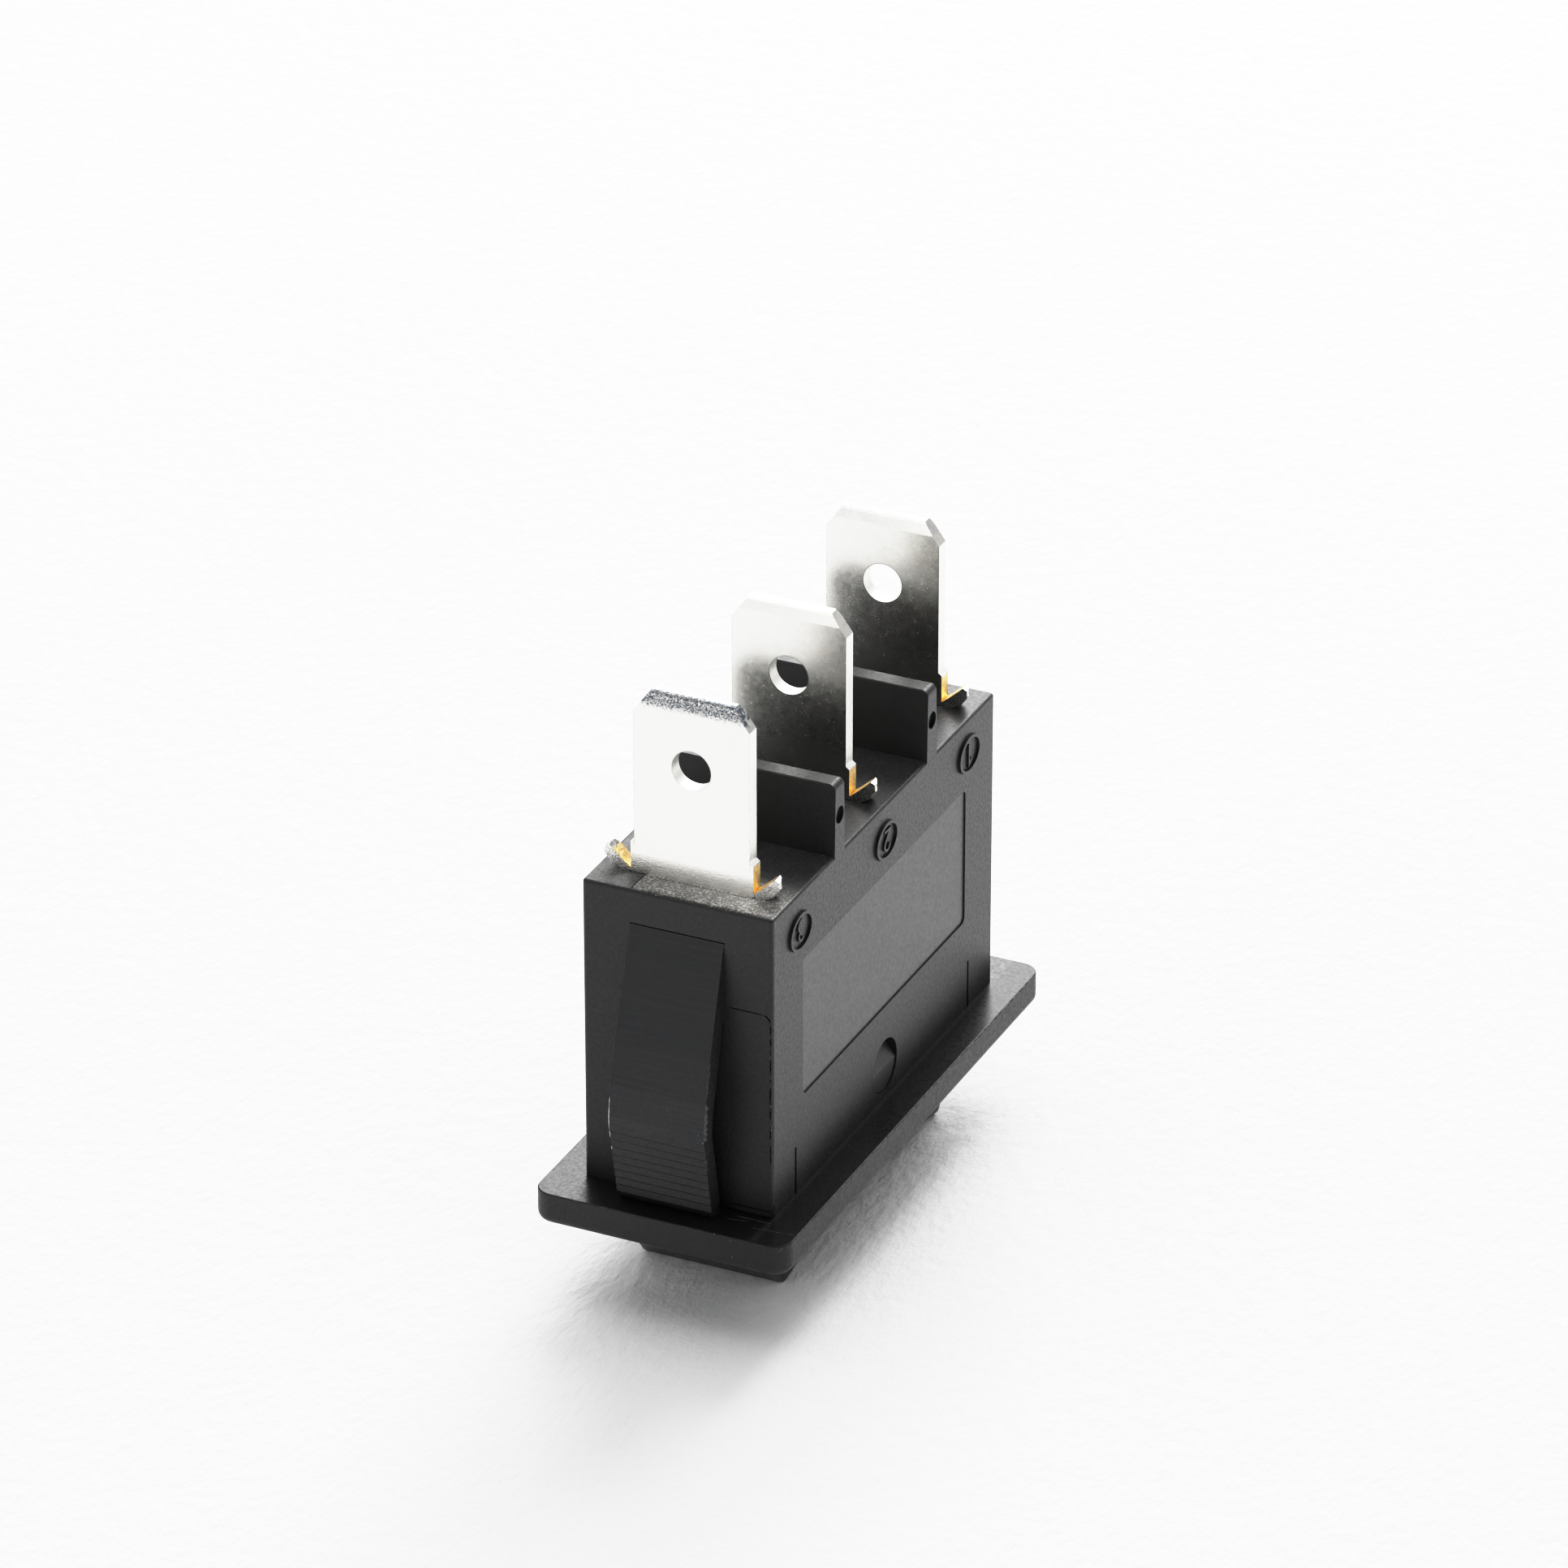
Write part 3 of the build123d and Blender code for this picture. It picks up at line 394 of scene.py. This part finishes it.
    rough = k.math("ADD", rough, k.math("MULTIPLY", inner, 0.1))
    rough = k.math("ADD", rough, k.math("MULTIPLY", bevel_dark_and_streaks, 0.25))
    rough = k.math("ADD", rough, k.math("MULTIPLY", k.math("MULTIPLY", k.remap(rr, 1.1 * mm, 1.075 * mm, 0, 1), edge),
                                        0.22))
    k.link(rough, k.bsdf.inputs["Roughness"])
    h = k.math("ADD", k.math("MULTIPLY", mott, 0.9), k.math("MULTIPLY", roll, 0.5))
    h = k.math("ADD", h, k.math("MULTIPLY", spot, 0.3))
    h = k.math("ADD", h, k.math("MULTIPLY", k.math("MULTIPLY", shear, edge), 3.0))
    h = k.math("ADD", h, k.math("MULTIPLY", k.math("MULTIPLY", gritty, ear), 22.0))
    h = k.math("ADD", h, k.math("MULTIPLY", k.math("MULTIPLY", mott, ear), 24.0))
    h = k.math("ADD", h, k.math("MULTIPLY", k.math("MULTIPLY", gritty, coin), 7.0))
    h = k.math("ADD", h, k.math("MULTIPLY", k.math("MULTIPLY", mott, coin), 12.0))
    h = k.math("ADD", h, k.math("ADD", k.math("MULTIPLY", k.math("MULTIPLY", gritty, low), 7.0),
                           k.math("MULTIPLY", k.math("MULTIPLY", fleck, low), 26.0)))
    k.link(k.bump(h, 0.000001, 1.0), k.bsdf.inputs["Normal"])
    return k.m


def plain_metal(name, col, r0, r1):
    k = Mat(name)
    k.set(Metallic=1.0)
    n = k.noise(1.0, 4, 0.6, vec=k.scaled(900, 5200, 900))
    c = k.noise(600, 3, 0.5)
    dark = tuple(x * 0.82 for x in col)
    k.link(k.mix(k.remap(c, 0.3, 0.7, 0, 1), dark, col), k.bsdf.inputs["Base Color"])
    k.link(k.remap(n, 0.3, 0.7, r0, r1), k.bsdf.inputs["Roughness"])
    k.link(k.bump(n, 0.000006, 0.5), k.bsdf.inputs["Normal"])
    return k.m


def plunger_white():
    k = Mat("plunger_white")
    k.set(Metallic=0.0, IOR=1.5)
    g = k.noise(2400, 3, 0.6)
    c = k.noise(300, 3, 0.5)
    k.link(k.mix(c, (0.72, 0.7, 0.65), (0.82, 0.81, 0.77)), k.bsdf.inputs["Base Color"])
    k.link(k.remap(g, 0.3, 0.7, 0.35, 0.5), k.bsdf.inputs["Roughness"])
    k.link(k.bump(g, 0.000008, 0.5), k.bsdf.inputs["Normal"])
    return k.m


MATS = {
    "black_nylon": black_nylon(),
    "rocker_black": rocker_black(),
    "tinned_brass": tinned(),
    "contact_silver": plain_metal("contact_silver", (0.86, 0.85, 0.82), 0.2, 0.36),
    "contact_brass": plain_metal("contact_brass", (0.78, 0.58, 0.27), 0.2, 0.34),
    "spring_steel": plain_metal("spring_steel", (0.62, 0.62, 0.63), 0.22, 0.36),
    "plunger_white": plunger_white(),
}

slots = {s["node"]: s["material_slot"] for s in frame["record"]["subparts"]}
for node, ob in frame["nodes"].items():
    m = MATS[slots[node]]
    if not ob.material_slots:
        ob.data.materials.append(m)
    for s in ob.material_slots:
        s.link = "OBJECT"
        s.material = m


# ------------------------------------------------------------ moulding flash
def flash(name, c0, c1, r0, r1, ior=1.44):
    """Thin flash and crumbs of the same nylon, in two given greys; the near-white one is a painted highlight and the
    near-black one painted shade.
    """
    k = Mat(name)
    k.set(Metallic=0.0, IOR=ior)
    g = k.noise(7000, 3, 0.6)
    n = k.noise(2600, 3, 0.6)
    k.link(k.mix(k.remap(n, 0.35, 0.65, 0, 1), c0, c1), k.bsdf.inputs["Base Color"])
    k.link(k.remap(g, 0.3, 0.7, r0, r1), k.bsdf.inputs["Roughness"])
    k.link(k.bump(g, 0.000006, 1.0), k.bsdf.inputs["Normal"])
    return k.m


# painted highlight: near-white flash for thin edges that catch the light
LIT_FLASH = flash("flash_painted_highlight", (0.34, 0.34, 0.335), (0.85, 0.84, 0.82), 0.3, 0.5)
GREY = flash("flash_grey", (0.06, 0.06, 0.061), (0.2, 0.2, 0.198), 0.34, 0.5)
# painted shade: near-black flash with little sheen, for the shade in seams
SEAM_SHADE = flash("seam_painted_shade", (0.001, 0.001, 0.001), (0.003, 0.003, 0.003), 0.6, 0.75, 1.12)
SLATE = flash("flash_slate", (0.012, 0.012, 0.0125), (0.045, 0.045, 0.046), 0.34, 0.5)
NYLON = MATS["black_nylon"]


class Piece:
    """Closed ridges and crumbs that make one piece on the housing."""

    def __init__(self, name, mat, seed):
        self.name, self.mat = name, mat
        self.bm = bmesh.new()
        self.rnd = random.Random(seed)

    def ridge(self, pts, w, h, out, sink=0.03, wob=0.3, step=0.08, lean=0.0):
        """A ragged ridge along pts, w wide and h high, standing out along out."""
        rnd = self.rnd
        out = Vector(out).normalized()
        corner = [Vector((x, y, up(z))) for x, y, z in pts]
        q = []
        for a, b in zip(corner, corner[1:]):
            n = max(2, round((b - a).length / step))
            q += [a.lerp(b, i / n) for i in range(n)]
        q.append(corner[-1])
        rings, last = [], len(q) - 1
        for i, at in enumerate(q):
            t = (q[min(i + 1, last)] - q[max(i - 1, 0)]).normalized()
            side = t.cross(out).normalized()
            e = min(1.0, (i + 0.5) / 3, (last - i + 0.5) / 3)
            kw = w * e * (1 + wob * rnd.uniform(-1, 1))
            kh = h * e * (1 + wob * rnd.uniform(-1, 1))
            shift = w * wob * 0.4 * rnd.uniform(-1, 1)
            ring = []
            for u, v in ((-0.5, 0), (-0.44, 0.5), (-0.14, 1.0), (0.18, 0.93), (0.45, 0.42), (0.5, 0)):
                rise_by = out * (v * kh) if v else -out * sink
                ring.append(self.bm.verts.new((at + side * (u * kw + shift + lean * v * kh) + rise_by) * MM))
            rings.append(ring)
        for a, b in zip(rings, rings[1:]):
            for j in range(6):
                self.bm.faces.new((a[j], a[(j + 1) % 6], b[(j + 1) % 6], b[j]))
        self.bm.faces.new(rings[0][::-1])
        self.bm.faces.new(rings[-1])
        return self

    def crumb(self, at, rx, ry, rz):
        """A small lump, sunk halfway into what carries it."""
        c = Vector((at[0], at[1], up(at[2])))
        seed = Vector((self.rnd.uniform(0, 50), self.rnd.uniform(0, 50), self.rnd.uniform(0, 50)))
        rows, cols = 5, 8
        grid = []
        for i in range(1, rows):
            lat = math.pi * i / rows - math.pi / 2
            ring = []
            for j in range(cols):
                lon = 2 * math.pi * (j + 0.5 * (i % 2)) / cols
                d = Vector((math.cos(lat) * math.cos(lon), math.cos(lat) * math.sin(lon), math.sin(lat)))
                f = 1 + 0.45 * noise.noise(d * 1.7 + seed)
                ring.append(self.bm.verts.new((c + Vector((d.x * rx, d.y * ry, d.z * rz)) * f) * MM))
            grid.append(ring)
        foot = self.bm.verts.new((c - Vector((0, 0, rz))) * MM)
        peak = self.bm.verts.new((c + Vector((0, 0, rz))) * MM)
        for a, b in zip(grid, grid[1:]):
            for j in range(cols):
                self.bm.faces.new((a[j], a[(j + 1) % cols], b[(j + 1) % cols], b[j]))
        for j in range(cols):
            self.bm.faces.new((foot, grid[0][(j + 1) % cols], grid[0][j]))
            self.bm.faces.new((peak, grid[-1][j], grid[-1][(j + 1) % cols]))
        return self

    def done(self):
        bmesh.ops.recalc_face_normals(self.bm, faces=self.bm.faces)
        me = bpy.data.meshes.new(self.name)
        self.bm.to_mesh(me)
        self.bm.free()
        for f in me.polygons:
            f.use_smooth = True
        me.materials.append(self.mat)
        ob = bpy.data.objects.new(self.name, me)
        bpy.context.scene.collection.objects.link(ob)
        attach(ob, "base")
        return ob


ARM_PROFILE = ((15.0, 13.3), (14.95, 13.5), (12.1, 14.32), (9.15, 15.16), (7.0, 15.66),
               (5.3, 15.85), (4.75, 15.85), (0.45, 15.0))


def arm_y(z):
    """How far out the snap arm's face is at height z above the bezel."""
    for (za, ya), (zb, yb) in zip(ARM_PROFILE, ARM_PROFILE[1:]):
        if zb <= z <= za:
            return ya + (yb - ya) * (za - z) / (za - zb)
    return 15.0


def arm_edge(z):
    """The arm's -X edge at height z."""
    return -2.55 - 0.13 * max(0.0, min(1.0, (15.3 - z) / 8.8))


def along_arm(za, zb, n, x=None):
    return [((arm_edge(z) if x is None else x), -arm_y(z), z)
            for z in (za + (zb - za) * i / n for i in range(n + 1))]


# the arm's two long edges: a fine line of flash on one, painted near white as a painted
# highlight, and a torn burr on the other
p = Piece("arm_flash", LIT_FLASH, 11)
p.ridge(along_arm(6.3, 3.85, 12), 0.026, 0.03, (-0.5, -1, 0), wob=0.25)
p.ridge(along_arm(3.6, 3.1, 3), 0.02, 0.02, (-0.5, -1, 0), wob=0.5)
p.done()
p = Piece("arm_flash_fine", SLATE, 14)
for za, zb in ((13.1, 12.2), (11.9, 10.6), (10.4, 9.5), (9.3, 8.1), (8.0, 6.4), (3.0, 2.2)):
    p.ridge(along_arm(za, zb, 5), 0.022, 0.022, (-0.5, -1, 0), wob=0.5)
p.done()
p = Piece("arm_burr", SLATE, 12)
p.ridge([(2.53, -arm_y(z) + 0.02, z) for z in (9.2, 8.4, 7.6, 7.2)], 0.04, 0.05, (1, -0.25, 0), wob=0.6)
p.ridge([(2.53, -arm_y(z) + 0.03, z) for z in (7.1, 6.6, 6.1, 5.6, 5.0)], 0.07, 0.17, (1, -0.4, 0), wob=0.6)
p.ridge([(2.53, -arm_y(z) + 0.02, z) for z in (4.7, 3.9, 3.0)], 0.04, 0.05, (1, -0.3, 0), wob=0.6)
p.done()
p = Piece("arm_sparks", GREY, 13)
p.ridge([(2.58, -arm_y(6.75), 6.75), (2.6, -arm_y(6.3) - 0.01, 6.3)], 0.022, 0.02, (0.4, -1, 0), wob=0.6)
p.ridge([(2.56, -arm_y(6.0), 6.0), (2.52, -arm_y(5.56), 5.56)], 0.028, 0.025, (0.4, -1, 0), wob=0.6)
for x, z, r in ((2.24, 5.32, 0.035), (2.41, 4.66, 0.03), (2.48, 4.94, 0.045), (2.43, 4.09, 0.022),
                (0.49, 6.29, 0.03), (0.02, 3.51, 0.028), (0.1, 3.42, 0.02), (2.2, 4.88, 0.024),
                (2.33, 5.05, 0.02), (2.56, 7.25, 0.02)):
    p.crumb((x, -arm_y(z), z), r, 0.014, r * 0.8)
p.done()

# hair lines where the mould's parts met round the pad's outline; their near-black colour is painted shade, standing in
# for the shade in the seam
p = Piece("pad_outline", SEAM_SHADE, 21)
FACE = -13.5
p.ridge([(2.78, FACE, 11.52), (3.5, FACE, 11.53), (4.66, FACE, 11.52)], 0.06, 0.02, (0, -1, 0), wob=0.3)
p.ridge([(4.66, FACE, 11.52), (4.87, FACE, 11.46), (5.0, FACE, 11.33), (5.07, FACE, 11.12)], 0.075, 0.025,
        (0, -1, 0), wob=0.3)
for za, zb, w in ((11.05, 10.45, 0.055), (10.3, 9.75, 0.06), (9.6, 9.3, 0.045), (9.1, 8.2, 0.06),
                  (8.0, 7.75, 0.05), (7.5, 6.5, 0.06), (6.3, 5.6, 0.07), (5.3, 4.5, 0.05), (4.2, 3.1, 0.04)):
    p.ridge([(5.07, FACE, za), (5.06 + 0.02 * (za > 8), FACE, (za + zb) / 2), (5.07, FACE, zb)], w, 0.022,
            (0, -1, 0), wob=0.5)
p.done()
p = Piece("pad_burr", GREY, 22)
for x, z, r in ((4.99, 11.45, 0.018), (5.09, 9.2, 0.02), (5.09, 6.47, 0.028), (5.11, 5.11, 0.03),
                (5.1, 8.05, 0.02)):
    p.crumb((x, FACE, z), r * 0.7, 0.014, r * 1.6)
p.ridge([(5.12, FACE, 5.35), (5.12, FACE, 4.95)], 0.02, 0.018, (0.3, -1, 0), wob=0.5)
p.done()

# lines left on the bezel's rear face by the mould's sliders
p = Piece("slider_lines", SLATE, 31)
p.ridge([(3.06, -14.4, 0), (3.6, -14.3, 0), (4.19, -14.2, 0)], 0.045, 0.02, (0, 0, 1), wob=0.4)
p.ridge([(4.54, -14.69, 0), (5.71, -14.59, 0), (6.9, -14.52, 0)], 0.04, 0.018, (0, 0, 1), wob=0.5)
p.ridge([(3.4, -13.95, 0), (4.3, -13.93, 0), (5.3, -13.96, 0)], 0.06, 0.02, (0, 0, 1), wob=0.3)
p.done()

# the bezel's rear rim: a fine broken burr, crumbs, one curl and a scratch
p = Piece("rim_burr", SLATE, 41)
r41 = random.Random(410)
x = -5.95
while x < 5.7:
    run = min(r41.uniform(0.2, 0.9), 5.9 - x)
    if r41.random() < 0.5:
        p.ridge([(x, -15.985, -0.02), (x + run, -15.985, -0.02)], 0.02, 0.014, (0, -0.6, 1), wob=0.6)
    x += run + r41.uniform(0.1, 0.5)
y = -14.9
while y < 14.7:
    run = min(r41.uniform(0.3, 1.3), 14.9 - y)
    if r41.random() < 0.8:
        p.ridge([(6.985, y, -0.02), (6.985, y + run, -0.02)], r41.uniform(0.024, 0.042), 0.022, (0.7, 0, 1), wob=0.6)
    y += run + r41.uniform(0.02, 0.3)
p.done()
p = Piece("rim_specks", GREY, 42)
for x, z, r in ((3.15, -0.03, 0.03), (4.04, -0.18, 0.04), (0.29, -1.22, 0.025), (3.81, -0.51, 0.022),
                (5.03, -1.28, 0.026), (5.28, -1.3, 0.022), (-3.3, -0.4, 0.015), (-1.4, -0.8, 0.014),
                (1.9, -0.3, 0.016)):
    p.crumb((x, -16.0, z), r, 0.014, r * 0.8)
p.ridge([(4.03, -15.995, -1.0), (4.2, -15.995, -1.24)], 0.018, 0.012, (0, -1, 0), wob=0.4)
for y, zz, r in ((-13.2, -0.03, 0.04), (-12.6, -0.06, 0.03), (-9.1, -0.04, 0.03), (-4.4, -0.05, 0.035),
                 (-3.9, -0.03, 0.028), (-2.6, -0.05, 0.04), (3.2, -0.04, 0.03)):
    p.crumb((6.99, y, zz), 0.014, r, r * 0.7)
p.ridge([(6.565, -15.819, -0.32), (6.68, -15.726, -0.18), (6.735, -15.634, -0.06)], 0.035, 0.03, (0.68, -0.73, 0.1),
        wob=0.4)
p.crumb((6.97, -14.9, -0.05), 0.02, 0.04, 0.03)
p.done()

# the terminal face: a witness line, its near-black colour painted shade, and the seam that closes on the blade
p = Piece("face_lines", NYLON, 51)
p.ridge([(-2.53, -11.79, 16.895), (0.4, -11.79, 16.895), (3.32, -11.79, 16.895)], 0.17, 0.03, (0, 0, 1), wob=0.06)
p.done()
p = Piece("face_witness", SEAM_SHADE, 53)
p.ridge([(-2.55, -13.38, 16.9), (-2.56, -12.6, 16.9), (-2.54, -11.8, 16.9)], 0.045, 0.012, (0, 0, 1), wob=0.3)
p.done()
p = Piece("end_scratches", GREY, 52)
for x, z, dx, dz in ((-4.3, 16.1, 0.25, 0.05), (-1.9, 16.4, 0.3, 0.02), (-3.2, 15.2, 0.22, -0.1)):
    p.ridge([(x, FACE, z), (x + dx, FACE, z + dz)], 0.022, 0.014, (0, -1, 0), wob=0.4)
p.crumb((-1.15, -13.42, 16.86), 0.06, 0.05, 0.04)
p.done()


# -------------------------------------------------------------------- floor
def make_floor():
    bm = bmesh.new()
    half, n = 1.6, 16
    for i in range(n + 1):
        for j in range(n + 1):
            bm.verts.new((-half + 2 * half * i / n, -half + 2 * half * j / n, 0))
    bm.verts.ensure_lookup_table()
    for i in range(n):
        for j in range(n):
            a = i * (n + 1) + j
            bm.faces.new([bm.verts[a], bm.verts[a + n + 1],
                          bm.verts[a + n + 2], bm.verts[a + 1]])
    me = bpy.data.meshes.new("floor")
    bm.to_mesh(me)
    bm.free()
    ob = bpy.data.objects.new("floor", me)
    bpy.context.scene.collection.objects.link(ob)
    k = Mat("paper_floor")
    k.set(Metallic=0.0, IOR=1.3, Roughness=0.85)
    fibre = k.noise(700, 5, 0.6)
    cloud = k.noise(9, 2, 0.5)
    k.link(k.mix(k.remap(cloud, 0.3, 0.7, 0, 1), (0.865, 0.864, 0.866),
                 (0.885, 0.884, 0.885)), k.bsdf.inputs["Base Color"])
    felt = k.noise(1.0, 3, 0.55, vec=k.scaled(1900, 750, 1, rot=(0, 0, math.radians(-20))))
    relief = k.math("ADD", k.math("MULTIPLY", fibre, 0.8), felt)
    k.link(k.bump(relief, 0.00013, 1.0), k.bsdf.inputs["Normal"])
    me.materials.append(k.m)
    return ob


make_floor()

# ------------------------------------------------------------- light, world
scene = bpy.context.scene
world = bpy.data.worlds.new("studio")
scene.world = world
world.use_nodes = True
wt = world.node_tree
bg = wt.nodes["Background"]
bg.inputs[1].default_value = 1.0
# a white room, darker low down in front of the switch
wc = wt.nodes.new("ShaderNodeTexCoord")
ws = wt.nodes.new("ShaderNodeSeparateXYZ")
wt.links.new(wc.outputs["Generated"], ws.inputs[0])


def wmap(value, a, b, c, d):
    n = wt.nodes.new("ShaderNodeMapRange")
    n.inputs["From Min"].default_value = a
    n.inputs["From Max"].default_value = b
    n.inputs["To Min"].default_value = c
    n.inputs["To Max"].default_value = d
    wt.links.new(value, n.inputs["Value"])
    return n.outputs[0]


front = wmap(ws.outputs[1], -0.05, -0.5, 0, 1)
low = wmap(ws.outputs[2], 0.99, 0.89, 0, 1)
rise = wmap(ws.outputs[2], 0.42, 0.56, 0.48, 1)


def wmul(a, b):
    n = wt.nodes.new("ShaderNodeMath")
    n.operation = "MULTIPLY"
    wt.links.new(a, n.inputs[0])
    wt.links.new(b, n.inputs[1])
    return n.outputs[0]


both = wmul(wmul(front, low), rise)
wm = wt.nodes.new("ShaderNodeMix")
wm.data_type = "RGBA"
sky = wmap(ws.outputs[2], 0.15, 0.9, 0.42 * WORLD, 1.4 * WORLD)
wt.links.new(wmul(sky, wmap(ws.outputs[0], -1.0, 1.0, 1.25, 0.75)), wm.inputs[6])
wm.inputs[7].default_value = (0.035, 0.04, 0.048, 1)
wt.links.new(both, wm.inputs[0])
card = wt.nodes.new("ShaderNodeVectorMath")
card.operation = "DOT_PRODUCT"
wt.links.new(wc.outputs["Generated"], card.inputs[0])
card.inputs[1].default_value = (-0.372, -0.802, 0.466)
cm = wt.nodes.new("ShaderNodeMix")
cm.data_type = "RGBA"
wt.links.new(wmap(card.outputs["Value"], 0.945, 0.975, 0, 1), cm.inputs[0])
wt.links.new(wm.outputs[2], cm.inputs[6])
cm.inputs[7].default_value = (CARD, CARD, CARD, 1)
wt.links.new(cm.outputs[2], bg.inputs[0])


def area(name, loc, target, size, power, size_y=None):
    d = bpy.data.lights.new(name, "AREA")
    d.shape = "RECTANGLE"
    d.size = size
    d.size_y = size_y or size
    d.energy = power
    o = bpy.data.objects.new(name, d)
    scene.collection.objects.link(o)
    o.location = loc
    o.rotation_mode = "QUATERNION"
    o.rotation_quaternion = (Vector(target) - Vector(loc)).to_track_quat("-Z", "Y")
    return o


area("softbox", (-0.2, 1.1, 0.72), (0, 0, 0.01), 0.8, KEY, 1.1)

scene.view_settings.view_transform = "Standard"
scene.view_settings.look = "None"
scene.view_settings.exposure = 0.0
scene.view_settings.gamma = 1.0
# a soft shoulder for the brightest tones, as on film
scene.view_settings.use_curve_mapping = True
tone = scene.view_settings.curve_mapping
tone.white_level = (2.0, 2.0, 2.0)
shoulder = tone.curves[3]
shoulder.points[0].location = (0.0, 0.0)
shoulder.points[1].location = (1.0, 0.988)
for tx, ty in ((0.012, 0.0185), (0.03, 0.048), (0.06, 0.102), (0.1, 0.185), (0.15, 0.295),
               (0.30, 0.60), (0.36, 0.71), (0.43, 0.80), (0.52, 0.87), (0.64, 0.915), (0.8, 0.95),
               (0.92, 0.975)):
    shoulder.points.new(tx, ty)
tone.update()

# ------------------------------------------------------------------- camera
AZ, EL, ROLL = math.radians(24.9112), math.radians(27.7976), math.radians(-0.0284)
back = Vector((math.sin(AZ) * math.cos(EL), -math.cos(AZ) * math.cos(EL), math.sin(EL)))
cam_data = bpy.data.cameras.new("camera")
cam_data.sensor_fit = "HORIZONTAL"
cam_data.sensor_width = 36.0
cam_data.lens = 11225.07 * 36.0 / 1932.0
cam_data.clip_start = 0.01
cam_data.clip_end = 20
cam = bpy.data.objects.new("camera", cam_data)
scene.collection.objects.link(cam)
fwd = -back
right = fwd.cross(Vector((0, 0, 1))).normalized()
cup = right.cross(fwd).normalized()
c, s = math.cos(ROLL), math.sin(ROLL)
r2 = right * c + cup * s
u2 = cup * c - right * s
rot = Matrix((r2, u2, back)).transposed()
cam.rotation_mode = "QUATERNION"
cam.rotation_quaternion = rot.to_quaternion()
cam.location = Vector((170.418, -367.919, 236.843)) * MM
scene.camera = cam
